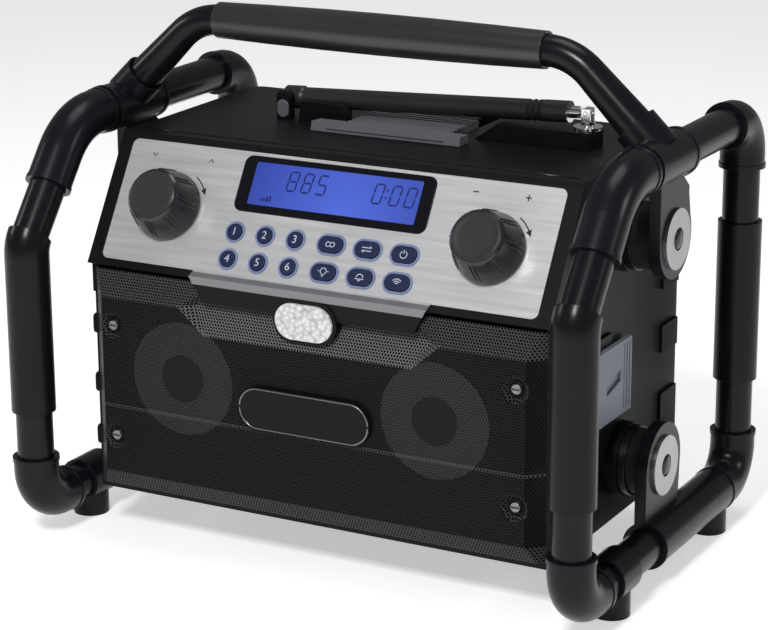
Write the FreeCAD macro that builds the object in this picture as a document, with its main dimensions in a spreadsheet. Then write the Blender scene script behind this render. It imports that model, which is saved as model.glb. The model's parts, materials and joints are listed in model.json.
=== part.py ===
"""Jobsite radio hung in a cage of pipes, as a parametric FreeCAD document.

Frame: +X to the right of someone facing the control panel, +Y to the back, +Z up.
Origin on the ground, under the middle of the four feet. Lengths are in millimetres.

The radio's casing hangs between two pipe frames, one at each side, on four rubber
dampers. A carrying handle bridges the frames. The panel leans back, and the pieces on it
are placed by three panel coordinates: u to the right, v up the slope, w out of the face.
"""
import FreeCAD, Part
import math
import os
import Sketcher

Vector = FreeCAD.Vector
Rotation = FreeCAD.Rotation

# Driving sizes: alias, value, what it is
SIZES = {
    "frame_gap": (30, "from the casing side to the plane of a pipe frame"),
    "upright_half": (130.5, "uprights, half the distance from front to back"),
    "low_pipe_z": (25.5, "bottom pipe axis above the ground"),
    "top_pipe_z": (272, "top pipe axis above the ground"),
    "pipe_radius": (12, "pipe outer radius"),
    "pipe_wall": (2, "pipe wall"),
    "sleeve_radius": (14.5, "radius of the sleeves on the uprights"),
    "fitting_radius": (14.75, "radius of elbows and tees"),
    "rim_extra": (0.6, "how far a fitting's rim stands out"),
    "rim_length": (3, "length of a fitting's rim"),
    "socket_fit": (0.15, "clearance of a pipe in its fitting"),
    "elbow_bend": (24, "right-angle elbow, radius of its axis"),
    "elbow_collar": (9, "right-angle elbow, straight collar"),
    "front_lean": (38, "upper front upright, lean from vertical in degrees"),
    "lean_z": (201, "height where the front upright turns back"),
    "lean_bend": (19, "front upright, radius of that turn"),
    "front_elbow_bend": (50, "upper front elbow, radius of its axis"),
    "front_elbow_low": (24, "upper front elbow, collar on the upright"),
    "front_elbow_high": (8, "upper front elbow, collar on the top pipe"),
    "sleeve_front_low": (90, "front sleeve, lower end"),
    "sleeve_rear_low": (95, "rear sleeve, lower end"),
    "sleeve_rear_high": (203, "rear sleeve, upper end"),
    "foot_front_inset": (60, "front foot axis, from the front uprights"),
    "foot_rear_inset": (41, "rear foot axis, from the rear uprights"),
    "foot_radius": (12, "foot radius"),
    "foot_front_reach": (13, "front tee, half its run"),
    "foot_rear_near": (17.5, "rear tee, run towards the middle"),
    "foot_rear_far": (7.5, "rear tee, run towards the elbow"),
    "handle_inset": (119, "handle plane, from the front uprights"),
    "grip_z": (333, "grip axis"),
    "grip_half": (120, "grip, half its length"),
    "grip_end_radius": (11.7, "grip radius at its ends"),
    "grip_mid_radius": (13.3, "grip radius in the middle"),
    "bar_radius": (10, "handle bar radius under the grip"),
    "leg_radius": (12.4, "handle leg radius at the tee"),
    "leg_drop": (44, "slope of the handle legs in degrees"),
    "leg_foot_z": (277, "height where a leg's axis meets the frame plane"),
    "handle_bend": (42, "handle bend, radius of its axis"),
    "tee_half": (28.5, "handle tee, half its length"),
    "tee_radius": (15.2, "handle tee radius"),
    "saddle_radius": (14.2, "socket round the leg on the handle tee"),
    "saddle_length": (22, "socket length from the frame plane up the leg"),
    "mount_behind": (19.1, "damper axes, behind the handle plane"),
    "mount_low_z": (71.8, "lower damper axis"),
    "mount_high_z": (219.5, "upper damper axis"),
    "low_eye_radius": (27.5, "lower bracket eye"),
    "high_eye_radius": (25.3, "upper bracket eye"),
    "plate_thick": (7.6, "bracket plate thickness"),
    "low_plate_reach": (0.5, "lower bracket, outer face beyond the frame plane"),
    "high_plate_reach": (4.5, "upper bracket, outer face beyond the frame plane"),
    "bracket_reach": (26.1, "lower bracket, front end of its collar from the dampers"),
    "washer_radius": (19.3, "mount washer radius"),
    "washer_thick": (2, "mount washer thickness"),
    "head_bore": (7.3, "hole round the bolt head"),
    "bolt_radius": (5, "mount bolt radius"),
    "head_radius": (6.9, "mount bolt head radius"),
    "head_depth": (3, "bolt head, depth in the bracket"),
    "damper_radius": (21, "rubber damper radius"),
    "boss_radius": (24, "casing boss under a damper"),
    "boss_height": (8, "casing boss height"),
    "ring_wall": (1.5, "steel ring round a damper, wall"),
    "ring_length": (5, "steel ring length"),
    "body_half": (162, "casing, half its width"),
    "cheek_extra": (1.7, "panel cheeks, how far they stand out"),
    "cheek_z": (166, "panel cheeks, lower end"),
    "body_low_z": (33, "casing underside"),
    "deck_z": (264.5, "casing top"),
    "body_rear_y": (105.5, "casing back"),
    "seam_y": (-31, "joint between the front and rear casings"),
    "wall": (3, "casing wall"),
    "corner_radius": (9, "casing rear corner radius"),
    "panel_lean": (31.6, "control panel, lean from vertical in degrees"),
    "panel_foot_y": (-101.8, "control plate's lower edge, place from front to back"),
    "panel_foot_z": (190.7, "control plate's lower edge, height"),
    "plate_height": (81.8, "control plate, height up the slope"),
    "plate_inset": (7.7, "casing side beyond the control plate"),
    "plate_sheet": (1.2, "control plate thickness"),
    "plate_corner": (4.5, "control plate corner radius"),
    "panel_margin": (1.6, "casing left above the control plate"),
    "panel_sill": (5, "casing left below the control plate"),
    "front_wall_y": (-99, "casing wall behind the grille"),
    "trim_gap": (0.15, "clearance round plates and lenses"),
    "window_half": (68.3, "display window, half its width"),
    "window_low": (42.4, "display window, lower edge up the slope"),
    "window_high": (79.5, "display window, upper edge up the slope"),
    "window_ledge": (2.2, "ledge that the window sits on"),
    "window_proud": (0.5, "how far the window stands out"),
    "key_low_v": (10.2, "lower row of keys up the slope"),
    "key_row": (18, "distance between the rows of keys"),
    "digit_first_u": (-62, "first digit key"),
    "digit_pitch": (21.9, "distance between digit keys"),
    "wide_first_u": (7.3, "first wide key"),
    "wide_pitch": (25.6, "distance between wide keys"),
    "key_radius": (5.2, "key radius"),
    "key_wide_half": (3.3, "wide key, half its straight part"),
    "key_gap": (0.35, "clearance round a key"),
    "key_ring": (1.35, "width of the lit ring round a key"),
    "key_proud": (1.4, "how far a key stands out"),
    "key_travel": (1, "key travel"),
    "key_length": (5.6, "key length"),
    "board_w": (-9, "control board's front, behind the panel face"),
    "board_thick": (1.6, "circuit board thickness"),
    "mat_top_w": (-5.4, "key mat, front of its base"),
    "knob_u": (114.2, "knobs, distance from the middle"),
    "knob_v": (39, "knobs up the slope"),
    "knob_base_radius": (22.8, "knob radius at the panel"),
    "knob_face_radius": (16.8, "knob radius at its face"),
    "knob_height": (22.5, "knob height"),
    "knob_lift": (1.7, "gap under a knob"),
    "knob_wall": (2.4, "knob wall"),
    "knob_hub_radius": (7, "knob hub radius"),
    "shaft_radius": (3, "encoder shaft radius"),
    "shaft_fit": (0.06, "running clearance of a shaft"),
    "bush_radius": (4.6, "encoder bush radius"),
    "encoder_half": (6.5, "encoder body, half its width"),
    "grille_y": (-109, "grille face"),
    "grille_back_y": (-99.4, "grille's rear edge"),
    "grille_sheet": (1.2, "grille sheet"),
    "grille_inset": (1.6, "casing side beyond the grille"),
    "grille_fold": (9.6, "width of the folded side of the grille"),
    "grille_top_z": (183.4, "grille, upper edge"),
    "brow_z": (166, "grille, lower edge of the set-back brow"),
    "brow_y": (-102.4, "grille brow at its upper edge"),
    "band_half": (78, "bright band under the hood, half its width"),
    "band_z": (150, "bright band, lower edge"),
    "band_back_y": (-102, "bright band at its upper edge"),
    "lip_z": (49, "grille, fold of the lower lip"),
    "grille_low_z": (37, "grille, lower edge"),
    "hood_top_half": (84, "hood, half its width at the top"),
    "hood_low_half": (75, "hood, half its width at the bottom"),
    "hood_low_z": (172.5, "hood, lower edge"),
    "hood_y": (-107.6, "hood face"),
    "chin_height": (5, "bright chin of the control plate on the hood"),
    "lamp_z": (169.6, "lamp axis"),
    "lamp_half": (20, "lamp lens, half its length"),
    "lamp_radius": (11.5, "lamp lens radius"),
    "lamp_rim": (2.6, "rim round the lamp lens"),
    "lamp_y": (-110.6, "lamp lens face"),
    "badge_z": (109.6, "badge axis"),
    "badge_half": (47, "badge, half its length"),
    "badge_radius": (14, "badge radius"),
    "badge_thick": (3.4, "badge thickness"),
    "speaker_x": (90.2, "speakers, distance from the middle"),
    "speaker_z": (119.8, "speaker axes"),
    "speaker_radius": (38, "speaker opening"),
    "screw_inset": (7, "grille screws, from the side fold"),
    "screw_low_z": (73, "lower grille screws"),
    "screw_high_z": (147.6, "upper grille screws"),
    "screw_radius": (2, "grille screw radius"),
    "screw_head": (4.4, "grille screw head radius"),
    "pocket_radius": (5.6, "screw pocket radius"),
    "pocket_depth": (4, "screw pocket depth"),
    "channel_half": (39.5, "latch channel in the deck, half its width"),
    "channel_y": (9, "latch channel, front end"),
    "channel_z": (247, "latch channel floor"),
    "fence_y": (19, "front of the blocks beside the latch"),
    "fence_left_x": (-77, "left end of the left block"),
    "fence_right_x": (-40, "right end of the left block"),
    "pad_width": (26, "side pads, width"),
    "pad_low_z": (40, "lowest side pad"),
    "pad_mid_z": (124, "middle side pad"),
    "pad_high_z": (167, "highest side pad"),
    "pad_tall": (56, "lowest side pad, height"),
    "pad_short": (18, "other side pads, height"),
    "tray_wall": (2.5, "battery tray wall"),
    "contact_half": (22, "battery contacts, half their width"),
    "stay_front": (20, "battery tray's stays, from the tray's front"),
    "stay_back": (50, "battery tray's stays, rear end from the tray's front"),
    "sink_left_x": (20, "heat sink, left side"),
    "sink_right_x": (70, "heat sink, right side"),
    "sink_z": (62, "heat sink, top"),
    "coil_x": (-60, "mains filter coil, place from the middle"),
    "coil_radius": (9, "mains filter coil radius"),
    "coil_height": (14, "mains filter coil height"),
    "slot_front_y": (-27, "side latch slot, front end"),
    "slot_rear_y": (-6, "side latch slot, rear end"),
    "slot_z": (123, "side latch slot, front lower corner"),
    "slot_rise": (5, "side latch slot, rise to its rear end"),
    "slot_height": (7, "side latch slot, height"),
    "fence_back_y": (25.5, "back of the left block"),
    "fence_z": (277.5, "top of the left block"),
    "stand_z": (275.6, "top of the right block, under the aerial"),
    "stand_y": (22, "front of the right block"),
    "stand_back_y": (44, "back of the right block"),
    "stand_right_x": (131, "right end of the right block"),
    "stand_left_x": (62, "left end of the right block"),
    "latch_lip_half": (54, "door latch, half the width of its lip"),
    "latch_rib_half": (37.5, "door latch, half the width of its ribbed part"),
    "latch_front_y": (-5, "door latch, front"),
    "latch_pivot_y": (53, "door latch pivot, place from front to back"),
    "latch_pivot_z": (259, "door latch pivot height"),
    "latch_hub": (3.6, "door latch hub radius"),
    "latch_pin": (1.6, "door latch pin radius"),
    "latch_arm_half": (14, "door latch, half the width of its rear arm"),
    "latch_arm_z": (252, "door latch, underside of its rear arm"),
    "latch_arm_y": (96, "door latch, rear end of its arm"),
    "latch_tooth": (4.2, "door latch, height of its tooth above the arm's underside"),
    "bite_gap": (0.4, "gap between the latch's tooth and the door's lip"),
    "latch_thick": (5.5, "door latch plate thickness"),
    "lip_height": (6.3, "door latch, height of its lip"),
    "rib_count": (9, "ribs on the door latch"),
    "door_half": (92, "rear door, half its width"),
    "door_low_z": (61.5, "rear door, lower edge"),
    "door_high_z": (244, "rear door, upper edge beside the tongue"),
    "door_thick": (4, "rear door thickness"),
    "door_gap": (0.5, "gap round a door"),
    "heel_gap": (1.3, "gap under the rear door, for its lower edge to swing"),
    "hinge_y": (102.5, "rear door hinge, place from front to back"),
    "hinge_z": (56, "rear door hinge height"),
    "hinge_barrel": (3.4, "rear door hinge barrel"),
    "hinge_pin": (1.8, "rear door hinge pin"),
    "hinge_half": (60, "rear door barrel, half its length"),
    "tongue_thick": (2.4, "door tongue thickness"),
    "tongue_reach": (13.5, "door tongue, how far it reaches over the latch"),
    "tray_half": (74, "battery tray, half its width"),
    "tray_y": (34, "battery tray, front"),
    "tray_low_z": (66, "battery tray, underside"),
    "tray_high_z": (238, "battery tray, top"),
    "hatch_front_y": (-88, "side hatch, front edge"),
    "hatch_rear_y": (-12, "side hatch, rear edge"),
    "hatch_low_z": (99.5, "side hatch, lower edge"),
    "hatch_high_z": (160, "side hatch, upper edge"),
    "hatch_thick": (4, "side hatch thickness"),
    "hatch_pin_y": (-91.5, "side hatch hinge, place from front to back"),
    "hatch_barrel": (2.6, "side hatch hinge barrel"),
    "catch_pin_y": (-41.5, "side latch hinge, place from front to back"),
    "catch_barrel": (1.8, "side latch hinge barrel"),
    "catch_rear_y": (11, "side latch, rear edge"),
    "catch_low_z": (105, "side latch, lower edge"),
    "catch_high_z": (153, "side latch, upper edge"),
    "catch_thick": (3.2, "side latch thickness"),
    "pin_radius": (1.4, "small hinge pin radius"),
    "pin_fit": (0.06, "running clearance of a hinge pin"),
    "mast_x": (125, "aerial base, place from side to side"),
    "mast_y": (33.5, "aerial base, place from front to back"),
    "mast_z": (286.4, "aerial tilt pivot height"),
    "mast_flange": (9.2, "aerial base flange radius"),
    "mast_sag": (2.6, "slope of the lying aerial in degrees"),
    "rod_length": (221, "aerial, from its pivot to its tip"),
    "rod_radius": (6.7, "aerial radius"),
    "rod_tip_radius": (7.6, "aerial tip radius"),
    "rod_tip_length": (17, "aerial tip length"),
    "knuckle_radius": (3.6, "aerial knuckle radius"),
    "knuckle_half": (2.3, "aerial knuckle, half its width"),
    "cheek_half": (3, "aerial base, half the width of its cheeks"),
    "clip_x": (-88.5, "aerial clip, place from side to side"),
    "clip_half": (5, "aerial clip, half its width"),
    "clip_z": (283.4, "aerial clip, top"),
    "lower_board_z": (47, "lower circuit board, underside"),
    "lower_board_half": (118, "lower circuit board, half its length"),
    "bump_out": (1.8, "how far the side bumpers stand out"),
}

# Sizes that follow from others: alias, formula, what it is
DERIVED = {
    "side_plane": ("body_half + frame_gap", "pipe frames, distance of their plane from the middle"),
    "low_plate_out": ("side_plane + low_plate_reach", "lower bracket, outer face"),
    "high_plate_out": ("side_plane + high_plate_reach", "upper bracket, outer face"),
    "plate_half": ("body_half - plate_inset", "control plate, half its width"),
    "grille_half": ("body_half - grille_inset", "grille, half its width"),
    "grille_fold_x": ("grille_half - grille_fold", "fold at the side of the grille face"),
    "screw_x": ("grille_fold_x - screw_inset", "grille screws, distance from the middle"),
    "foot_front_y": ("foot_front_inset - upright_half", "front foot axis"),
    "foot_rear_y": ("upright_half - foot_rear_inset", "rear foot axis"),
    "handle_y": ("handle_inset - upright_half", "handle plane"),
    "mount_y": ("handle_y + mount_behind", "damper axes, place from front to back"),
    "bracket_collar_y": ("mount_y - bracket_reach", "lower bracket, front end of its collar"),
}

DOC = FreeCAD.newDocument("JobsiteRadio")


class Term:
    """A length: its text for the document's expressions, and its value in millimetres."""

    def __init__(self, text, value):
        self.text = text
        self.value = value

    def __add__(self, other):
        return join(self, "+", other, lambda a, b: a + b)

    def __radd__(self, other):
        return join(other, "+", self, lambda a, b: a + b)

    def __sub__(self, other):
        return join(self, "-", other, lambda a, b: a - b)

    def __rsub__(self, other):
        return join(other, "-", self, lambda a, b: a - b)

    def __mul__(self, other):
        return join(self, "*", other, lambda a, b: a * b)

    def __rmul__(self, other):
        return join(other, "*", self, lambda a, b: a * b)

    def __truediv__(self, other):
        return join(self, "/", other, lambda a, b: a / b)

    def __neg__(self):
        return self * -1


def as_term(length):
    """A plain number as a Term."""
    return length if isinstance(length, Term) else Term("(%s)" % float(length), float(length))


def join(left, sign, right, work):
    """Two Terms joined by an arithmetic sign."""
    left, right = as_term(left), as_term(right)
    return Term("(%s %s %s)" % (left.text, sign, right.text), work(left.value, right.value))


def turn(name, function, angle):
    """A sine, cosine or tangent of an angle in degrees."""
    angle = as_term(angle)
    return Term("%s(%s)" % (name, angle.text), function(math.radians(angle.value)))


def sine(angle):
    return turn("sin", math.sin, angle)


def cosine(angle):
    return turn("cos", math.cos, angle)


def tangent(angle):
    return turn("tan", math.tan, angle)


class Sheet:
    """Driving sizes by name, as Terms bound to the spreadsheet."""

    def __init__(self, sizes, derived):
        self.cells = DOC.addObject("Spreadsheet::Sheet", "Sizes")
        rows = [(alias, str(value), note) for alias, (value, note) in sizes.items()]
        rows += [(alias, "=" + formula, note) for alias, (formula, note) in derived.items()]
        for row, (alias, content, note) in enumerate(rows, start=1):
            self.cells.set("A%d" % row, note)
            self.cells.set("B%d" % row, content)
            self.cells.setAlias("B%d" % row, alias)
        DOC.recompute()

    def __getattr__(self, alias):
        return Term("Sizes." + alias, float(self.cells.get(alias)))


S = Sheet(SIZES, DERIVED)
NODES = {}

AXES = {
    "+X": Vector(1, 0, 0),
    "-X": Vector(-1, 0, 0),
    "+Y": Vector(0, 1, 0),
    "-Y": Vector(0, -1, 0),
    "+Z": Vector(0, 0, 1),
    "-Z": Vector(0, 0, -1),
}


# Building blocks

def bind(thing, prop, length):
    """Tie a property to a length, and to the sheet where the length names it."""
    thing.setExpression(prop, as_term(length).text)


def place(thing, point, rotation=None):
    """Put an object at a point given as three lengths."""
    thing.Placement = FreeCAD.Placement(Vector(), rotation or Rotation())
    for letter, length in zip("xyz", point):
        bind(thing, "Placement.Base." + letter, length)
    return thing


def box(name, low, high):
    """A block from its low corner to its high corner."""
    block = DOC.addObject("Part::Box", name)
    for prop, first, last in zip(("Length", "Width", "Height"), low, high):
        bind(block, prop, as_term(last) - first)
    return place(block, low)


def rod(name, radius, length, start, axis="+Z"):
    """A cylinder from its start along one of the frame's axes."""
    cylinder = DOC.addObject("Part::Cylinder", name)
    bind(cylinder, "Radius", radius)
    bind(cylinder, "Height", length)
    return place(cylinder, start, Rotation(Vector(0, 0, 1), AXES[axis]))


def cone(name, first_radius, last_radius, length, start, axis="+Z"):
    """A cone from its start along one of the frame's axes."""
    solid = DOC.addObject("Part::Cone", name)
    bind(solid, "Radius1", first_radius)
    bind(solid, "Radius2", last_radius)
    bind(solid, "Height", length)
    return place(solid, start, Rotation(Vector(0, 0, 1), AXES[axis]))


def ring(name, outer, inner, length, start, axis="+Z"):
    """A straight tube."""
    return cut(name, rod(name + "_outer", outer, length, start, axis),
               [rod(name + "_bore", inner, length, start, axis)])


def bend(name, axis_radius, tube_radius, angle, centre, first, second):
    """Part of a torus, from the direction first towards the direction second."""
    torus = DOC.addObject("Part::Torus", name)
    bind(torus, "Radius1", axis_radius)
    bind(torus, "Radius2", tube_radius)
    bind(torus, "Angle3", angle)
    first, second = AXES[first], AXES[second]
    return place(torus, centre, Rotation(first, second, first.cross(second), "XYZ"))


def fuse(name, parts):
    """Several solids joined into one."""
    union = DOC.addObject("Part::MultiFuse", name)
    union.Shapes = parts
    union.Refine = True
    return union


def cut(name, base, tools):
    """A solid less one or more others."""
    difference = DOC.addObject("Part::Cut", name)
    difference.Base = base
    difference.Tool = tools[0] if len(tools) == 1 else fuse(name + "_tools", tools)
    difference.Refine = True
    return difference


def common(name, first, second):
    """What two solids share."""
    overlap = DOC.addObject("Part::Common", name)
    overlap.Base = first
    overlap.Tool = second
    overlap.Refine = True
    return overlap


def mirror(name, source):
    """The left-hand copy of a right-hand solid."""
    copy = DOC.addObject("Part::Mirroring", name)
    copy.Source = source
    copy.Normal = Vector(1, 0, 0)
    return copy


def both_sides(name, sources):
    """A group of right-hand solids and their left-hand copies."""
    copies = [mirror(source.Name + "_left", source) for source in sources]
    return group(name, sources + copies)


def group(name, parts):
    """Separate solids that share one node."""
    compound = DOC.addObject("Part::Compound", name)
    compound.Links = parts
    return compound


def node(name, thing):
    """Mark an object as a finished sub-part under its own label."""
    thing.Label = name
    NODES[name] = thing
    return thing


def outline_sketch(body, name, plane, points):
    """A closed outline of straight lines on one of a body's planes."""
    sketch = body.newObject("Sketcher::SketchObject", name)
    origin_plane = [f for f in body.Origin.OriginFeatures if f.Role == plane][0]
    sketch.AttachmentSupport = [(origin_plane, "")]
    sketch.MapMode = "FlatFace"
    points = [(as_term(a), as_term(b)) for a, b in points]
    corners = [Vector(a.value, b.value, 0) for a, b in points]
    count = len(corners)
    for index in range(count):
        sketch.addGeometry(Part.LineSegment(corners[index], corners[(index + 1) % count]), False)
    for index in range(count):
        sketch.addConstraint(Sketcher.Constraint("Coincident", index, 2, (index + 1) % count, 1))
    for index, point in enumerate(points):
        for kind, length in zip(("DistanceX", "DistanceY"), point):
            rule = Sketcher.Constraint(kind, -1, 1, index, 1, length.value)
            number = sketch.addConstraint(rule)
            sketch.setExpression("Constraints[%d]" % number, length.text)
    return sketch


def prism(name, plane, points, low, high):
    """An outline padded from low to high along the frame axis that its plane faces."""
    body = DOC.addObject("PartDesign::Body", name)
    sketch = outline_sketch(body, name + "_outline", plane, points)
    low, high = as_term(low), as_term(high)
    start = -high if plane == "XZ_Plane" else low
    bind(sketch, "AttachmentOffset.Base.z", start)
    pad = body.newObject("PartDesign::Pad", name + "_pad")
    pad.Profile = sketch
    bind(pad, "Length", high - low)
    sketch.Visibility = False
    return body


def revolved(name, points):
    """An outline of (radius, height) points turned round the Z axis."""
    body = DOC.addObject("PartDesign::Body", name)
    sketch = outline_sketch(body, name + "_outline", "XZ_Plane", points)
    turned = body.newObject("PartDesign::Revolution", name + "_turned")
    turned.Profile = sketch
    turned.ReferenceAxis = (sketch, ["V_Axis"])
    turned.Angle = 360
    return body


def round_edges(body, radius, wanted):
    """Fillet the edges of a body's tip that a test picks by their ends."""
    DOC.recompute()
    tip = body.Tip
    names = []
    for number, edge in enumerate(tip.Shape.Edges, start=1):
        ends = [vertex.Point for vertex in edge.Vertexes]
        if len(ends) == 2 and wanted(ends[0], ends[1]):
            names.append("Edge%d" % number)
    fillet = body.newObject("PartDesign::Fillet", body.Name + "_fillet")
    fillet.Base = (tip, names)
    bind(fillet, "Radius", radius)
    return body


def pill(name, half_length, radius, low_y, high_y, centre_x, centre_z):
    """A plate with round ends that faces front and back."""
    low_y, high_y, centre_x = as_term(low_y), as_term(high_y), as_term(centre_x)
    straight = as_term(half_length) - radius
    block = box(name + "_middle", (centre_x - straight, low_y, centre_z - radius),
                (centre_x + straight, high_y, centre_z + radius))
    ends = [rod(name + "_end_%d" % number, radius, high_y - low_y,
                (centre_x + straight * side, low_y, centre_z), "+Y")
            for number, side in enumerate((-1, 1))]
    return fuse(name, [block] + ends)


def bent_tube(name, corners, radii, outer, inner, rimmed=False):
    """A tube along a path in the right-hand frame plane, with an arc at each inner corner.

    corners are (y, z) pairs, radii belong to the inner ones. Its sizes come from the sheet.
    """
    side, outer, inner = S.side_plane.value, as_term(outer).value, as_term(inner).value
    points = [Vector(side, as_term(y).value, as_term(z).value) for y, z in corners]
    edges = []
    start = points[0]
    for before, corner, after, radius in zip(points, points[1:], points[2:], radii):
        toward = (corner - before).normalize()
        away = (after - corner).normalize()
        half = toward.getAngle(away) / 2
        reach = as_term(radius).value * math.tan(half)
        first, last = corner - toward * reach, corner + away * reach
        inward = (away - toward).normalize()
        middle = corner + inward * (as_term(radius).value * (1 / math.cos(half) - 1))
        if (first - start).Length > 0.01:
            edges.append(Part.LineSegment(start, first).toShape())
        edges.append(Part.Arc(first, middle, last).toShape())
        start = last
    if (points[-1] - start).Length > 0.01:
        edges.append(Part.LineSegment(start, points[-1]).toShape())
    path = Part.Wire(edges)
    first_way = (points[1] - points[0]).normalize()
    last_way = (points[-2] - points[-1]).normalize()
    solids = []
    for radius in (outer, inner):
        circle = Part.Wire([Part.Circle(points[0], first_way, radius).toShape()])
        solids.append(path.makePipeShell([circle], True, False))
    solid = solids[0]
    if rimmed:
        for point, way in ((points[0], first_way), (points[-1], last_way)):
            rim = Part.makeCylinder(outer + S.rim_extra.value, S.rim_length.value, point, way)
            solid = solid.fuse(rim)
    feature = DOC.addObject("Part::Feature", name)
    feature.Shape = solid.cut(solids[1]).removeSplitter()
    return feature


# Pipe frames

def bore():
    """Radius of a fitting's hole for a pipe."""
    return S.pipe_radius + S.socket_fit


def top_corner_y():
    """Where the leaning front upright would meet the top pipe's axis."""
    return (S.top_pipe_z - S.lean_z) * tangent(S.front_lean) - S.upright_half


def front_elbow_reach():
    """Upper front elbow, from its corner to the ends of its arc."""
    return S.front_elbow_bend * tangent((90 - S.front_lean) / 2)


def along_lean(distance):
    """A point on the leaning upright, below the corner with the top pipe."""
    return (top_corner_y() - distance * sine(S.front_lean),
            S.top_pipe_z - distance * cosine(S.front_lean))


def pipes():
    """Eight pipes: uprights, top and bottom ones at each side."""
    inner = S.pipe_radius - S.pipe_wall
    upright = ring("rear_pipe", S.pipe_radius, inner,
                   S.top_pipe_z - S.low_pipe_z - S.elbow_bend * 2,
                   (S.side_plane, S.upright_half, S.low_pipe_z + S.elbow_bend))
    node("rear_pipes", both_sides("rear_pipes_group", [upright]))
    bottom = ring("bottom_pipe", S.pipe_radius, inner, (S.upright_half - S.elbow_bend) * 2,
                  (S.side_plane, S.elbow_bend - S.upright_half, S.low_pipe_z), "+Y")
    node("bottom_pipes", both_sides("bottom_pipes_group", [bottom]))
    start = top_corner_y() + front_elbow_reach()
    top = ring("top_pipe", S.pipe_radius, inner, S.upright_half - S.elbow_bend - start,
               (S.side_plane, start, S.top_pipe_z), "+Y")
    node("top_pipes", both_sides("top_pipes_group", [top]))
    front = bent_tube("front_pipe",
                      [(-S.upright_half, S.low_pipe_z + S.elbow_bend), (-S.upright_half, S.lean_z),
                       along_lean(front_elbow_reach())],
                      [S.lean_bend], S.pipe_radius, inner)
    node("front_pipes", both_sides("front_pipes_group", [front]))


def sleeves():
    """Thick sleeves on the uprights. The front ones follow the turn."""
    rear = ring("rear_sleeve", S.sleeve_radius, bore(), S.sleeve_rear_high - S.sleeve_rear_low,
                (S.side_plane, S.upright_half, S.sleeve_rear_low))
    node("rear_sleeves", both_sides("rear_sleeves_group", [rear]))
    reach = S.lean_bend * tangent(S.front_lean / 2)
    front = bent_tube("front_sleeve",
                      [(-S.upright_half, S.sleeve_front_low), (-S.upright_half, S.lean_z),
                       (reach * sine(S.front_lean) - S.upright_half,
                        S.lean_z + reach * cosine(S.front_lean))],
                      [S.lean_bend], S.sleeve_radius, bore())
    node("front_sleeves", both_sides("front_sleeves_group", [front]))


def right_elbow(name, y_side, z_side, corner_z):
    """An elbow in the right-hand frame, with its collars and rims, at a corner of the frame.

    y_side and z_side tell which way its two collars point from the corner.
    """
    corner_y = S.upright_half * -y_side
    centre = (S.side_plane, corner_y + S.elbow_bend * y_side, corner_z + S.elbow_bend * z_side)
    up_end = (S.side_plane, corner_y, centre[2])
    level_end = (S.side_plane, centre[1], corner_z)
    up_way = "+Z" if z_side > 0 else "-Z"
    level_way = "+Y" if y_side > 0 else "-Y"
    first = "-Y" if y_side > 0 else "+Y"
    second = "-Z" if z_side > 0 else "+Z"
    solids = []
    for part, radius in (("outer", S.fitting_radius), ("inner", bore())):
        solids.append(fuse("%s_%s" % (name, part), [
            bend("%s_%s_bend" % (name, part), S.elbow_bend, radius, 90, centre, first, second),
            rod("%s_%s_up" % (name, part), radius, S.elbow_collar, up_end, up_way),
            rod("%s_%s_level" % (name, part), radius, S.elbow_collar, level_end, level_way),
        ]))
    rim_start = S.elbow_collar - S.rim_length
    rims = [
        rod(name + "_rim_up", S.fitting_radius + S.rim_extra, S.rim_length,
            (up_end[0], up_end[1], up_end[2] + rim_start * z_side), up_way),
        rod(name + "_rim_level", S.fitting_radius + S.rim_extra, S.rim_length,
            (level_end[0], level_end[1] + rim_start * y_side, level_end[2]), level_way),
    ]
    return cut(name, fuse(name + "_solid", [solids[0]] + rims), [solids[1]])


def elbows():
    """Right-angle elbows at three corners of each frame, and the wide upper front ones."""
    lower = [right_elbow("front_low_elbow", 1, 1, S.low_pipe_z),
             right_elbow("rear_low_elbow", -1, 1, S.low_pipe_z)]
    node("lower_elbows", both_sides("lower_elbows_group", lower))
    upper = right_elbow("rear_high_elbow", -1, -1, S.top_pipe_z)
    node("upper_rear_elbows", both_sides("upper_rear_elbows_group", [upper]))
    low_end = along_lean(front_elbow_reach() + S.front_elbow_low)
    high_end = (top_corner_y() + front_elbow_reach() + S.front_elbow_high, S.top_pipe_z)
    front = bent_tube("front_high_elbow", [low_end, (top_corner_y(), S.top_pipe_z), high_end],
                      [S.front_elbow_bend], S.fitting_radius, bore(), rimmed=True)
    node("upper_front_elbows", both_sides("upper_front_elbows_group", [front]))


def foot_tee(name, foot_y, front_reach, rear_reach):
    """A tee on the bottom pipe, whose branch is a foot."""
    run = rod(name + "_run", S.fitting_radius, front_reach + rear_reach,
              (S.side_plane, foot_y - front_reach, S.low_pipe_z), "+Y")
    branch = rod(name + "_branch", S.foot_radius, S.low_pipe_z, (S.side_plane, foot_y, 0))
    hole = rod(name + "_hole", bore(), front_reach + rear_reach,
               (S.side_plane, foot_y - front_reach, S.low_pipe_z), "+Y")
    elbow_space = rod(name + "_elbow_space", S.fitting_radius + S.rim_extra + S.socket_fit,
                      S.foot_radius, (S.side_plane, foot_y + rear_reach, S.low_pipe_z), "+Y")
    return cut(name, fuse(name + "_solid", [run, branch]), [hole, elbow_space])


def feet():
    """Four tees that the cage stands on."""
    tees = [foot_tee("front_tee", S.foot_front_y, S.foot_front_reach, S.foot_front_reach),
            foot_tee("rear_tee", S.foot_rear_y, S.foot_rear_near, S.foot_rear_far)]
    node("foot_tees", both_sides("foot_tees_group", tees))


def eye_plate(name, eye_radius, eye_z, outer_x, outline):
    """A flat bracket plate of a given outline that ends in a round eye."""
    inner_x = outer_x - S.plate_thick
    plate = prism(name + "_plate", "YZ_Plane", outline, inner_x, outer_x)
    eye = rod(name + "_eye", eye_radius, S.plate_thick, (inner_x, S.mount_y, eye_z), "+X")
    return [plate, eye]


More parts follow.
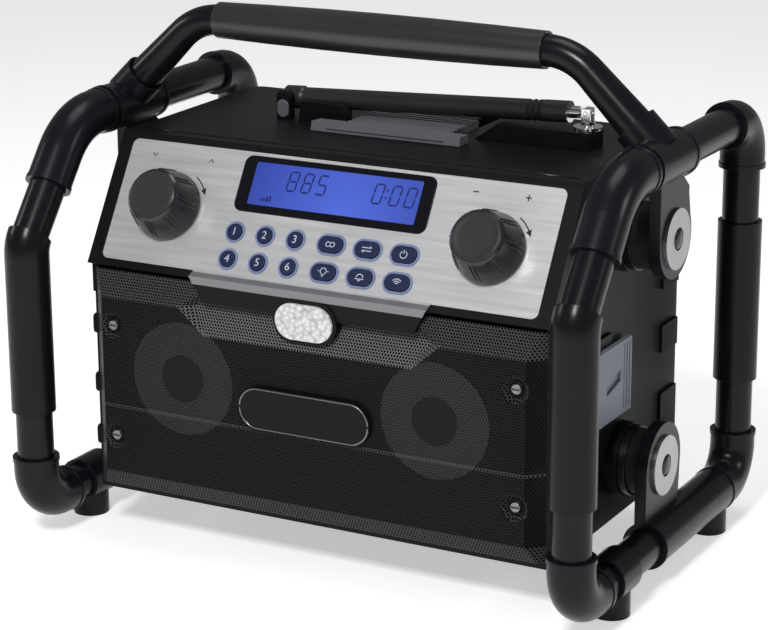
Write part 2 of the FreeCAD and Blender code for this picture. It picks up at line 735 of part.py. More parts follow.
def eye_holes(name, eye_z, outer_x):
    """The bolt hole and the sunk seat of its head."""
    inner_x = outer_x - S.plate_thick
    hole = rod(name + "_bolt_hole", S.bolt_radius + S.socket_fit, S.plate_thick,
               (inner_x, S.mount_y, eye_z), "+X")
    seat = rod(name + "_head_seat", S.head_bore, S.head_depth,
               (outer_x - S.head_depth, S.mount_y, eye_z), "+X")
    return [hole, seat]


def lower_brackets():
    """A collar on the bottom pipe with an arm that carries the lower damper."""
    collar_end = S.foot_rear_y - S.foot_rear_near - 2 * S.socket_fit
    start = (S.side_plane, S.bracket_collar_y, S.low_pipe_z)
    length = collar_end - S.bracket_collar_y
    collar = rod("low_bracket_collar", S.fitting_radius, length, start, "+Y")
    rim = rod("low_bracket_rim", S.fitting_radius + S.rim_extra, S.rim_length, start, "+Y")
    width = S.low_eye_radius
    outline = [(S.mount_y - width, S.low_pipe_z), (S.mount_y + width * 0.8, S.low_pipe_z),
               (S.mount_y + width * 0.92, S.low_pipe_z + S.fitting_radius + 4),
               (S.mount_y + width, S.mount_low_z), (S.mount_y - width, S.mount_low_z)]
    arm = eye_plate("low_bracket", S.low_eye_radius, S.mount_low_z, S.low_plate_out, outline)
    hole = rod("low_bracket_pipe_hole", bore(), length, start, "+Y")
    spare = rod("low_bracket_spare", bore(), S.low_eye_radius,
                (S.side_plane, S.bracket_collar_y - S.low_eye_radius, S.low_pipe_z), "+Y")
    right = cut("low_bracket", fuse("low_bracket_solid", [collar, rim] + arm),
                [hole, spare] + eye_holes("low_bracket", S.mount_low_z, S.low_plate_out))
    node("lower_bracket_right", right)
    node("lower_bracket_left", mirror("low_bracket_left", right))


def leg_rotation():
    """Turn that sends a solid's Z axis down along the right-hand handle leg."""
    return Rotation(Vector(0, 1, 0), 90 + S.leg_drop.value)


def on_leg(thing, distance):
    """Put a solid on the right-hand leg's axis, a distance up from the frame plane."""
    place(thing, (S.side_plane - distance * cosine(S.leg_drop), S.handle_y,
                  S.leg_foot_z + distance * sine(S.leg_drop)), leg_rotation())
    bind(thing, "Placement.Rotation.Angle", 90 + S.leg_drop)
    return thing


def handle_tees():
    """Tees that carry the handle's legs and hold the upper dampers' brackets."""
    start = (S.side_plane, S.handle_y - S.tee_half, S.top_pipe_z)
    run = rod("tee_run", S.tee_radius, S.tee_half * 2, start, "+Y")
    rims = [rod("tee_rim_%d" % number, S.tee_radius + S.rim_extra, S.rim_length,
                (S.side_plane, y, S.top_pipe_z), "+Y")
            for number, y in enumerate((start[1], S.handle_y + S.tee_half - S.rim_length))]
    saddle = on_leg(cut_cone("tee_saddle", S.saddle_radius, S.saddle_radius, S.saddle_length),
                    S.saddle_length)
    eye_edge = S.high_eye_radius
    tee_end = S.handle_y + S.tee_half
    outline = [(S.mount_y - eye_edge, S.mount_high_z), (S.mount_y + eye_edge, S.mount_high_z),
               (S.mount_y + eye_edge * 0.8, S.mount_high_z + eye_edge),
               (S.mount_y + eye_edge * 0.8, S.top_pipe_z - S.tee_radius - 8),
               (tee_end, S.top_pipe_z - S.tee_radius + 1), (tee_end, S.top_pipe_z),
               (S.mount_y - eye_edge, S.top_pipe_z)]
    arm = eye_plate("high_bracket", S.high_eye_radius, S.mount_high_z, S.high_plate_out, outline)
    hole = rod("tee_hole", bore(), S.tee_half * 2, start, "+Y")
    leg_hole = on_leg(cut_cone("tee_leg_hole", S.leg_radius, S.leg_radius, S.saddle_length + 1),
                      S.saddle_length + 1)
    bind(leg_hole, "Radius1", S.leg_radius + S.socket_fit)
    bind(leg_hole, "Radius2", S.leg_radius + S.socket_fit)
    shell = cut("tee_saddle_ring", saddle, [leg_hole])
    right = cut("handle_tee", fuse("tee_solid", [run, shell] + rims + arm),
                [hole] + eye_holes("high_bracket", S.mount_high_z, S.high_plate_out))
    node("handle_tee_right", right)
    node("handle_tee_left", mirror("handle_tee_left_copy", right))


def cut_cone(name, first_radius, last_radius, length):
    """A cone, or a cylinder where both radii are the same, to be placed later."""
    solid = DOC.addObject("Part::Cone", name)
    bind(solid, "Radius1", first_radius)
    bind(solid, "Radius2", last_radius + 0.001)
    bind(solid, "Height", length)
    return solid


def handle():
    """A bar with two bends and tapered legs, and the thicker grip on it."""
    reach = S.handle_bend * tangent(S.leg_drop / 2)
    corner_x = S.side_plane - (S.grip_z - S.leg_foot_z) / tangent(S.leg_drop)
    bar_half = corner_x - reach
    middle = rod("handle_middle", S.bar_radius, bar_half * 2,
                 (-bar_half, S.handle_y, S.grip_z), "+X")
    knee = bend("handle_knee", S.handle_bend, S.bar_radius, S.leg_drop,
                (bar_half, S.handle_y, S.grip_z - S.handle_bend), "+Z", "+X")
    leg_length = (S.side_plane - corner_x) / cosine(S.leg_drop) - reach
    leg = on_leg(cut_cone("handle_leg", S.bar_radius, S.leg_radius, leg_length), leg_length)
    tee = rod("handle_tee_space", S.tee_radius + S.socket_fit, S.tee_half * 2,
              (S.side_plane, S.handle_y - S.tee_half, S.top_pipe_z), "+Y")
    side = cut("handle_side", fuse("handle_side_solid", [knee, leg]), [tee])
    node("handle_bar", fuse("handle_bar_solid", [middle, side, mirror("handle_side_left", side)]))

    stations = [-1, -0.66, -0.33, 0, 0.33, 0.66, 1]
    swell = S.grip_mid_radius - S.grip_end_radius
    outer = [(S.grip_mid_radius - swell * (share * share), S.grip_half * share)
             for share in stations]
    hole = S.bar_radius + S.socket_fit
    ends = [(S.grip_end_radius - 1, S.grip_half * -1 - 1), (S.grip_end_radius - 1, S.grip_half + 1)]
    lathe = revolved("grip", [(hole, ends[0][1]), ends[0]] + outer + [ends[1], (hole, ends[1][1])])
    place(lathe, (0, S.handle_y, S.grip_z), Rotation(Vector(0, 1, 0), 90))
    node("handle_grip", cut("grip_trimmed", lathe, [
        box("grip_trim_right", (bar_half, S.handle_y - 20, S.grip_z - 20),
            (bar_half + 20, S.handle_y + 20, S.grip_z + 20)),
        box("grip_trim_left", (-bar_half - 20, S.handle_y - 20, S.grip_z - 20),
            (-bar_half, S.handle_y + 20, S.grip_z + 20))]))


# Dampers between the cage and the casing

def dampers():
    """Rubber dampers with their steel rings, bolts and washers."""
    seat_x = S.body_half + S.boss_height
    rubber, rings, bolts, washers = [], [], [], []
    for name, eye_z, out_x in (("low", S.mount_low_z, S.low_plate_out),
                               ("high", S.mount_high_z, S.high_plate_out)):
        span = out_x - S.plate_thick - seat_x
        rubber.append(ring(name + "_damper", S.damper_radius, S.bolt_radius + S.socket_fit, span,
                           (seat_x, S.mount_y, eye_z), "+X"))
        rings.append(ring(name + "_steel_ring", S.damper_radius + S.socket_fit + S.ring_wall,
                          S.damper_radius + S.socket_fit, S.ring_length,
                          (seat_x + S.socket_fit, S.mount_y, eye_z), "+X"))
        head_x = out_x - S.head_depth
        shank = rod(name + "_shank", S.bolt_radius, head_x - S.body_half + S.boss_height,
                    (S.body_half - S.boss_height, S.mount_y, eye_z), "+X")
        head = rod(name + "_head", S.head_radius, S.head_depth + S.washer_thick / 2,
                   (head_x, S.mount_y, eye_z), "+X")
        socket = prism(name + "_socket", "YZ_Plane", hexagon(S.mount_y, eye_z, S.bolt_radius * 0.8),
                       head_x + S.head_depth / 2, out_x + S.washer_thick)
        bolts.append(cut(name + "_bolt", fuse(name + "_bolt_solid", [shank, head]), [socket]))
        washers.append(ring(name + "_washer", S.washer_radius, S.head_bore, S.washer_thick,
                            (out_x, S.mount_y, eye_z), "+X"))
    node("mount_dampers", both_sides("mount_dampers_group", rubber))
    node("mount_rings", both_sides("mount_rings_group", rings))
    node("mount_bolts", both_sides("mount_bolts_group", bolts))
    node("mount_washers", both_sides("mount_washers_group", washers))


def hexagon(centre_a, centre_b, radius):
    """Corners of a hexagon, as pairs of lengths."""
    return [(centre_a + radius * math.cos(math.radians(60 * step)),
             centre_b + radius * math.sin(math.radians(60 * step))) for step in range(6)]


# Casing

def panel_y(v, w=0):
    """Place from front to back of a point v up the panel and w out of it."""
    return S.panel_foot_y + v * sine(S.panel_lean) - w * cosine(S.panel_lean)


def panel_z(v, w=0):
    """Height of a point v up the panel and w out of it."""
    return S.panel_foot_z + v * cosine(S.panel_lean) + w * sine(S.panel_lean)


def on_panel(thing, u=0, v=0):
    """Lean a solid built flat, with Z out of the face, onto the control panel."""
    v = as_term(v)
    leaned = group(thing.Name + "_leaned", [thing])
    place(leaned, (u, panel_y(v), panel_z(v)), Rotation(Vector(1, 0, 0), 90 - S.panel_lean.value))
    bind(leaned, "Placement.Rotation.Angle", 90 - S.panel_lean)
    return leaned


def flat_pill(name, half_straight, radius, low, high, u=0, v=0):
    """A key-shaped solid in panel coordinates, round where half_straight is nothing."""
    low, high = as_term(low), as_term(high)
    if half_straight is None:
        return rod(name, radius, high - low, (u, v, low))
    block = box(name + "_middle", (u - half_straight, v - radius, low),
                (u + half_straight, v + radius, high))
    ends = [rod(name + "_end_%d" % number, radius, high - low,
                (u + half_straight * side, v, low)) for number, side in enumerate((-1, 1))]
    return fuse(name, [block] + ends)


def rounded_plate(name, half, low_v, high_v, low_w, high_w, radius):
    """A plate with round corners in panel coordinates."""
    plate = prism(name, "XY_Plane", [(-half, low_v), (half, low_v), (half, high_v), (-half, high_v)],
                  low_w, high_w)
    return round_edges(plate, radius, lambda a, b: abs(a.z - b.z) > 0.01
                       and abs(a.x - b.x) + abs(a.y - b.y) < 0.01)


def key_places():
    """Name, u, v and half of the straight part of each of the twelve keys."""
    digits = ("key_one", "key_two", "key_three", "key_four", "key_five", "key_six")
    wides = ("key_link", "key_source", "key_power", "key_lamp", "key_alarm", "key_band")
    places = []
    for names, first, pitch, straight in ((digits, S.digit_first_u, S.digit_pitch, None),
                                          (wides, S.wide_first_u, S.wide_pitch, S.key_wide_half)):
        for number, name in enumerate(names):
            column, low_row = number % 3, number // 3
            places.append((name, first + pitch * column,
                           S.key_low_v + S.key_row * (1 - low_row), straight))
    return places


def control_plate():
    """The brushed front plate, with holes for the window, keys and shafts, and its chin."""
    plate = rounded_plate("plate_blank", S.plate_half, 0, S.plate_height, -S.plate_sheet, 0,
                          S.plate_corner)
    holes = [box("plate_window_hole", (-S.window_half - S.trim_gap, S.window_low - S.trim_gap,
                                       -S.plate_sheet),
                 (S.window_half + S.trim_gap, S.window_high + S.trim_gap, S.plate_sheet))]
    for name, u, v, straight in key_places():
        holes.append(flat_pill(name + "_plate_hole", straight,
                               S.key_radius + S.key_gap + S.key_ring + S.trim_gap,
                               -S.plate_sheet, S.plate_sheet, u, v))
    for side in (-1, 1):
        holes.append(rod("plate_shaft_hole_%d" % (side + 1), S.bush_radius + S.trim_gap,
                         S.plate_sheet * 2, (S.knob_u * side, S.knob_v, -S.plate_sheet)))
    flat = on_panel(cut("plate_flat", plate, holes))
    top_z = panel_z(as_term(0))
    chin = prism("plate_chin", "XZ_Plane",
                 [(-S.hood_top_half, top_z - 2), (S.hood_top_half, top_z - 2),
                  (S.hood_top_half - 2.5, top_z - 2 - S.chin_height),
                  (2.5 - S.hood_top_half, top_z - 2 - S.chin_height)],
                 S.hood_y - 0.8, S.hood_y - S.trim_gap)
    fold = prism("plate_fold", "YZ_Plane",
                 [(panel_y(as_term(0.4), -S.plate_sheet), panel_z(as_term(0.4), -S.plate_sheet)),
                  (panel_y(as_term(0.4)), panel_z(as_term(0.4))),
                  (S.hood_y - 0.8, top_z - 2), (S.hood_y - 0.8, top_z - 3),
                  (S.hood_y - S.trim_gap, top_z - 3)],
                 -S.hood_top_half, S.hood_top_half)
    node("control_plate", fuse("control_plate_solid", [flat, chin, fold]))


def display():
    """The display's window and the lit module behind it."""
    window = rounded_plate("window_pane", S.window_half, S.window_low, S.window_high,
                           -S.plate_sheet, S.window_proud, S.plate_corner - 1)
    node("display_window", on_panel(window))
    module = box("display_block",
                 (S.window_ledge * 2 - S.window_half, S.window_low + S.window_ledge * 2, S.board_w),
                 (S.window_half - S.window_ledge * 2, S.window_high - S.window_ledge,
                  -S.plate_sheet - 0.3))
    node("display_module", on_panel(cut("display_module_cut", module, [
        box("display_glass_seat", (-S.window_half + S.window_ledge * 3.4,
                                   S.window_low + S.window_ledge * 2.2, -S.plate_sheet - 1),
            (S.window_half - S.window_ledge * 3.4, S.window_high - S.window_ledge * 1.8,
             S.plate_sheet))])))


def keys():
    """Twelve keys, and the rubber mat whose lit rings surround them."""
    mat_parts, wells = [], []
    for name, u, v, straight in key_places():
        low = S.key_proud - S.key_length
        cap = flat_pill(name + "_cap", straight, S.key_radius, low, S.key_proud, u, v)
        node(name, on_panel(cap))
        well = S.key_radius + S.key_gap
        mat_parts.append(flat_pill(name + "_ring", straight, well + S.key_ring,
                                   S.mat_top_w - 1, 0.5, u, v))
        wells.append(flat_pill(name + "_well", straight, well, S.mat_top_w, 1, u, v))
    span = S.digit_first_u - S.key_radius * 2
    base = box("mat_base", (span, S.key_low_v - S.key_radius - 2, S.board_w),
               (-span, S.key_low_v + S.key_row + S.key_radius + 2, S.mat_top_w))
    node("key_mat", on_panel(cut("key_mat_cut", fuse("key_mat_solid", [base] + mat_parts), wells)))


def control_board():
    """The circuit board behind the panel, and the rotary encoders on it."""
    board = box("control_board_sheet", (-S.plate_half + 12, 3, S.board_w - S.board_thick),
                (S.plate_half - 12, S.plate_height - 4, S.board_w))
    node("control_board", on_panel(board))
    encoders = []
    for name, side in (("tune", -1), ("volume", 1)):
        u = S.knob_u * side
        block = box(name + "_encoder_block",
                    (u - S.encoder_half, S.knob_v - S.encoder_half, S.board_w),
                    (u + S.encoder_half, S.knob_v + S.encoder_half, -S.wall - S.plate_sheet - 0.3))
        bush = rod(name + "_encoder_bush", S.bush_radius, S.wall + 1, (u, S.knob_v, -S.wall - 1.6))
        hole = rod(name + "_encoder_hole", S.shaft_radius + S.shaft_fit, -S.board_w + 1,
                   (u, S.knob_v, S.board_w + 0.7))
        encoders.append(cut(name + "_encoder", fuse(name + "_encoder_solid", [block, bush]),
                            [hole]))
    node("encoders", on_panel(group("encoders_group", encoders)))


def knobs():
    """Two knobs that turn on shafts which can be pressed in."""
    top = S.knob_lift + S.knob_height
    shaft_low = S.board_w + S.key_travel + 0.9
    for name, side in (("tune", -1), ("volume", 1)):
        shaft = rod(name + "_shaft_rod", S.shaft_radius, top - S.knob_wall - 0.3 - shaft_low,
                    (0, 0, shaft_low))
        node(name + "_shaft", on_panel(shaft, S.knob_u * side, S.knob_v))
        outer = [(S.knob_base_radius - 0.8, S.knob_lift), (S.knob_base_radius, S.knob_lift + 1),
                 (S.knob_base_radius - 0.5, S.knob_lift + 4.5),
                 (S.knob_face_radius + 0.9, top - 1.6), (S.knob_face_radius - 0.7, top), (0, top)]
        hole = S.shaft_radius + S.shaft_fit
        inner = [(0, top - S.knob_wall), (hole, top - S.knob_wall), (hole, S.knob_lift + 1),
                 (S.knob_hub_radius, S.knob_lift + 1), (S.knob_hub_radius, top - S.knob_wall),
                 (S.knob_face_radius - S.knob_wall, top - S.knob_wall),
                 (S.knob_base_radius - S.knob_wall, S.knob_lift + 4)]
        tail = [(S.knob_base_radius - S.knob_wall, S.knob_lift)]
        lathe = revolved(name + "_knob_body", outer + inner + tail)
        node(name + "_knob", on_panel(lathe, S.knob_u * side, S.knob_v))


def front_outline(inset):
    """Side view of the front casing, as pairs of lengths, moved in by a wall thickness."""
    top_v = S.plate_height + S.panel_margin
    if inset is None:
        return [(S.seam_y, S.body_low_z), (S.seam_y, S.deck_z),
                (panel_y(top_v) + 1, S.deck_z), (panel_y(top_v), panel_z(top_v)),
                (panel_y(-S.panel_sill), panel_z(-S.panel_sill)),
                (S.front_wall_y, panel_z(-S.panel_sill) - 2), (S.front_wall_y, S.body_low_z)]
    back = -(inset + S.plate_sheet)
    return [(S.seam_y + inset, S.body_low_z + inset), (S.seam_y + inset, S.deck_z - inset),
            (panel_y(S.plate_height, back), S.deck_z - inset),
            (panel_y(S.plate_height, back), panel_z(S.plate_height, back)),
            (panel_y(as_term(4), back), panel_z(as_term(4), back)),
            (S.front_wall_y + inset, panel_z(as_term(4), back) - 1),
            (S.front_wall_y + inset, S.body_low_z + inset)]


def mount_places():
    """Height of each damper on one side of the casing."""
    return list(enumerate((S.mount_low_z, S.mount_high_z)))


def damper_seats():
    """Round cups between the casing's sides and the dampers."""
    seats = [ring("damper_seat_%d" % number, S.boss_radius, S.bolt_radius + S.socket_fit,
                  S.boss_height, (S.body_half, S.mount_y, z), "+X")
             for number, z in mount_places()]
    node("damper_seats", both_sides("damper_seats_group", seats))


def side_pads():
    """Pads along the rear edges of the casing's sides."""
    pads = [box("side_pad_%d" % number,
                (S.body_half, S.body_rear_y - S.corner_radius - S.pad_width, start),
                (S.body_half + S.bump_out, S.body_rear_y - S.corner_radius, end))
            for number, (start, end) in enumerate(((S.pad_low_z, S.pad_low_z + S.pad_tall),
                                                   (S.pad_mid_z, S.pad_mid_z + S.pad_short),
                                                   (S.pad_high_z, S.pad_high_z + S.pad_short)))]
    node("side_pads", both_sides("side_pads_group", pads))


def aerial_rest():
    """Two blocks and a clip post on the deck, around the lying aerial."""
    deck = S.deck_z
    fence = prism("left_block", "XZ_Plane",
                  [(S.fence_left_x, deck), (S.fence_right_x, deck),
                   (S.fence_right_x, S.fence_z - 4), (S.fence_right_x - 4, S.fence_z),
                   (S.fence_left_x + 2, S.fence_z)], S.fence_y, S.fence_back_y)
    stand = prism("right_block", "XZ_Plane",
                  [(S.stand_left_x - 11, deck), (S.stand_right_x, deck),
                   (S.stand_right_x, S.stand_z), (S.stand_left_x + 5, S.stand_z)],
                  S.stand_y, S.stand_back_y)
    post = box("clip_post", (S.clip_x - S.clip_half, S.fence_y, deck),
               (S.clip_x + S.clip_half, S.fence_back_y, S.clip_z - S.clip_half))
    post_top = rod("clip_top", S.clip_half, S.fence_back_y - S.fence_y,
                   (S.clip_x, S.fence_y, S.clip_z - S.clip_half), "+Y")
    node("aerial_rest", group("aerial_rest_group",
                              [fence, stand, fuse("clip", [post, post_top])]))


def hatch_space(margin):
    """The opening in the right-hand wall, wider than the hatch by a margin."""
    return box("hatch_space_%d" % len(DOC.Objects),
               (S.body_half - S.wall - 1, S.hatch_front_y - margin, S.hatch_low_z - margin),
               (S.body_half + S.wall, S.hatch_rear_y + margin, S.hatch_high_z + margin))


def front_casing():
    """The shell that holds the panel, the speakers, the hood and the lamp."""
    half = S.body_half
    shell = prism("front_shell", "YZ_Plane", front_outline(None), -half, half)
    cheek_points = [(S.seam_y, S.cheek_z), (S.seam_y, S.deck_z)] + front_outline(None)[2:6]
    cheek_points = cheek_points + [(S.front_wall_y, S.cheek_z)]
    cheeks = prism("front_cheeks", "YZ_Plane", cheek_points, -half - S.cheek_extra,
                   half + S.cheek_extra)
    hollow = prism("front_hollow", "YZ_Plane", front_outline(S.wall), S.wall - half, half - S.wall)
    hood = prism("hood_block", "XZ_Plane",
                 [(-S.hood_top_half, S.panel_foot_z - 2), (-S.hood_low_half, S.hood_low_z),
                  (S.hood_low_half, S.hood_low_z), (S.hood_top_half, S.panel_foot_z - 2)],
                 S.hood_y, S.front_wall_y + 1)
    lamp_rim = pill("lamp_rim_block", S.lamp_half + S.lamp_rim, S.lamp_radius + S.lamp_rim,
                    S.hood_y - 1.4, S.front_wall_y + 1, 0, S.lamp_z)
    posts = [on_panel(rod("board_post_%d" % number, 3.5, -S.board_w - S.plate_sheet,
                          ((S.plate_half - 18) * side, v, S.board_w)))
             for number, (side, v) in enumerate(((-1, 7), (1, 7), (-1, 70), (1, 70)))]
    pocket = on_panel(rounded_plate("plate_pocket", S.plate_half + S.trim_gap, -S.trim_gap,
                                    S.plate_height + S.trim_gap, -S.plate_sheet, 4,
                                    S.plate_corner + S.trim_gap))
    window = on_panel(box("window_space",
                          (S.window_ledge - S.window_half, S.window_low + S.window_ledge,
                           -S.wall - 4),
                          (S.window_half - S.window_ledge, S.window_high - S.window_ledge * 0.7,
                           1)))
    span = S.digit_first_u - S.key_radius * 2 - 1
    keyway = on_panel(box("key_space", (span, S.key_low_v - S.key_radius - 3, -S.wall - 4),
                          (-span, S.key_low_v + S.key_row + S.key_radius + 3, 1)))
    shafts = [on_panel(rod("shaft_space_%d" % number, S.bush_radius + S.trim_gap, S.wall + 5,
                           (S.knob_u * side, S.knob_v, -S.wall - 4)))
              for number, side in enumerate((-1, 1))]
    speakers = [rod("speaker_space_%d" % number, S.speaker_radius, S.wall + 4,
                    (S.speaker_x * side, S.front_wall_y - 1, S.speaker_z), "+Y")
                for number, side in enumerate((-1, 1))]
    lamp_hole = pill("lamp_space", S.lamp_half + S.trim_gap, S.lamp_radius + S.trim_gap,
                     S.hood_y - 3, S.front_wall_y + S.wall + 1, 0, S.lamp_z)
    groove = rod("hatch_groove", S.hatch_barrel + 0.6, S.hatch_high_z - S.hatch_low_z - 7,
                 (S.body_half + 1.2, S.hatch_pin_y, S.hatch_low_z + 3.5))
    holes = [rod("screw_hole_%d" % number, S.screw_radius + S.trim_gap, S.wall + 4,
                 (S.screw_x * side, S.front_wall_y - 1, z), "+Y")
             for number, (side, z) in enumerate(screw_places())]
    solid = cut("front_body", fuse("front_block", [shell, cheeks]), [hollow])
    low_z = panel_z(as_term(0))
    fold_space = prism("fold_space", "YZ_Plane",
                       [(panel_y(as_term(0.6), -S.plate_sheet - S.trim_gap),
                         panel_z(as_term(0.6), -S.plate_sheet - S.trim_gap)),
                        (panel_y(as_term(0.6), 2), panel_z(as_term(0.6), 2)),
                        (S.hood_y - 2, low_z + 2), (S.hood_y - 2, low_z - 4.2)],
                       -S.hood_top_half - S.trim_gap, S.hood_top_half + S.trim_gap)
    raised = fuse("front_raised", [solid, hood, lamp_rim] + posts)
    opened = cut("front_opened", raised,
                 [pocket, window, keyway, lamp_hole, fold_space, groove, hatch_space(S.door_gap)]
                 + shafts + speakers + holes)
    lugs = []
    for number, z in enumerate((S.hatch_low_z, S.hatch_high_z - 3)):
        reach = S.hatch_barrel + 0.2
        foot = box("hatch_lug_foot_%d" % number, (S.body_half - 1, S.hatch_pin_y - reach, z),
                   (S.body_half + 1.2, S.hatch_pin_y + reach, z + 3))
        eye = rod("hatch_lug_eye_%d" % number, reach, 3, (S.body_half + 1.2, S.hatch_pin_y, z))
        hole = rod("hatch_lug_hole_%d" % number, S.pin_radius + S.pin_fit, 3,
                   (S.body_half + 1.2, S.hatch_pin_y, z))
        lugs.append(cut("hatch_lug_cut_%d" % number,
                        fuse("hatch_lug_%d" % number, [foot, eye]), [hole]))
    pin_path = rod("hatch_pin_path", S.pin_radius + S.pin_fit, S.hatch_high_z - S.hatch_low_z,
                   (S.body_half + 1.2, S.hatch_pin_y, S.hatch_low_z))
    drilled = cut("front_drilled", opened, [pin_path])
    node("front_casing", fuse("front_casing_solid", [drilled] + lugs))


def screw_places():
    """Side and height of each of the four grille screws."""
    return [(side, z) for side in (-1, 1) for z in (S.screw_low_z, S.screw_high_z)]


def rear_casing():
    """The tub behind the seam, with the deck, the latch channel and the door's opening."""
    half, low, high, back = S.body_half, S.body_low_z, S.deck_z, S.body_rear_y
    shell = prism("rear_shell", "XY_Plane",
                  [(-half, S.seam_y), (half, S.seam_y), (half, back), (-half, back)], low, high)
    round_edges(shell, S.corner_radius,
                lambda a, b: abs(a.z - b.z) > 1 and min(a.y, b.y) > 0)
    hollow = box("rear_hollow", (S.wall - half, S.seam_y - 1, low + S.wall),
                 (half - S.wall, back - S.wall, high - S.wall))
    channel = box("channel_space", (-S.channel_half, S.channel_y, S.channel_z),
                  (S.channel_half, back + 1, high + 30))
    channel_walls = box("channel_walls",
                        (-S.channel_half - S.wall, S.channel_y - S.wall, S.channel_z - S.wall),
                        (S.channel_half + S.wall, back - S.door_thick - S.door_gap, high - 1))
    keeper_space = box("keeper_space", (-S.channel_half, back - S.door_thick - S.door_gap,
                                        S.door_high_z - 1),
                       (S.channel_half, back + 1, S.channel_z + 1))
    latch_pin_space = rod("latch_pin_space", S.latch_pin + S.pin_fit,
                          (S.channel_half + S.wall) * 2,
                          (-S.channel_half - S.wall, S.latch_pivot_y, S.latch_pivot_z), "+X")
    door_space = box("door_space",
                     (-S.door_half - S.door_gap, back - S.wall - 1, S.door_low_z - S.heel_gap),
                     (S.door_half + S.door_gap, back + 1, S.door_high_z + S.door_gap))
    barrel_space = rod("barrel_space", S.hinge_barrel + S.door_gap, S.hinge_half * 2 + 1,
                       (-S.hinge_half - 0.5, S.hinge_y, S.hinge_z), "+X")
    web_space = box("web_space", (-S.hinge_half - 0.5, S.hinge_y - S.hinge_barrel - 0.5,
                                  S.hinge_z - S.hinge_barrel - S.door_gap),
                    (S.hinge_half + 0.5, back + 1, S.door_low_z + 1))
    pin_space = rod("hinge_pin_space", S.hinge_pin + S.pin_fit, S.hinge_half * 2 + 16,
                    (-S.hinge_half - 8, S.hinge_y, S.hinge_z), "+X")
    lugs = [box("hinge_lug_%d" % number, (x, S.hinge_y - 4, S.hinge_z - 5),
                (x + 9, back - 1, S.hinge_z + 4))
            for number, x in enumerate((-S.hinge_half - 9.6, S.hinge_half + 0.6))]
    bolt_holes = [rod("mount_hole_%d_%d" % (side + 1, number), S.bolt_radius + S.socket_fit,
                      S.wall + 1, ((S.body_half - S.wall - 0.5) * side, S.mount_y, z),
                      "+X" if side > 0 else "-X")
                  for side in (-1, 1) for number, z in mount_places()]
    posts = [rod("lower_post_%d" % number, 4, S.lower_board_z - low - 1,
                 ((S.lower_board_half - 8) * side, y, low + 1))
             for number, (side, y) in enumerate(((-1, -16), (1, -16), (-1, 18), (1, 18)))]
    body = cut("rear_body", shell, [hollow])
    raised = fuse("rear_raised", [body, channel_walls] + lugs + posts)
    node("rear_casing", cut("rear_casing_solid", raised,
                            [channel, keeper_space, latch_pin_space, door_space, barrel_space,
                             web_space, pin_space, hatch_space(S.door_gap)] + bolt_holes))


# Front of the radio

def grille_block(name, inset):
    """The grille's outer form as a solid, moved in by the sheet where inset is given."""
    inset = as_term(inset)
    face = S.grille_y + inset
    half = S.grille_half - inset
    fold_x = S.grille_fold_x - inset * 0.6
    profile = prism(name + "_profile", "YZ_Plane",
                    [(S.grille_back_y, S.grille_low_z + inset * 0.8),
                     (S.grille_back_y, S.grille_top_z - inset),
                     (S.brow_y + inset, S.grille_top_z - inset), (face, S.brow_z - inset * 0.4),
                     (face, S.lip_z + inset * 0.3),
                     (S.brow_y + inset, S.grille_low_z + inset * 0.8)],
                    -half, half)
    plan = prism(name + "_plan", "XY_Plane",
                 [(-half, S.grille_back_y), (-half, S.grille_back_y - 0.5 + inset * 0.5),
                  (-fold_x, face), (fold_x, face),
                  (half, S.grille_back_y - 0.5 + inset * 0.5), (half, S.grille_back_y)],
                 S.grille_low_z - 1, S.grille_top_z + 1)
    solid = common(name + "_solid", profile, plan)
    band = prism(name + "_band", "YZ_Plane",
                 [(face - 3, S.band_z - inset - 2.2), (S.band_back_y + inset, S.hood_low_z),
                  (S.band_back_y + inset, S.grille_top_z), (face - 3, S.grille_top_z)],
                 inset - S.band_half, S.band_half - inset)
    return cut(name, solid, [band])


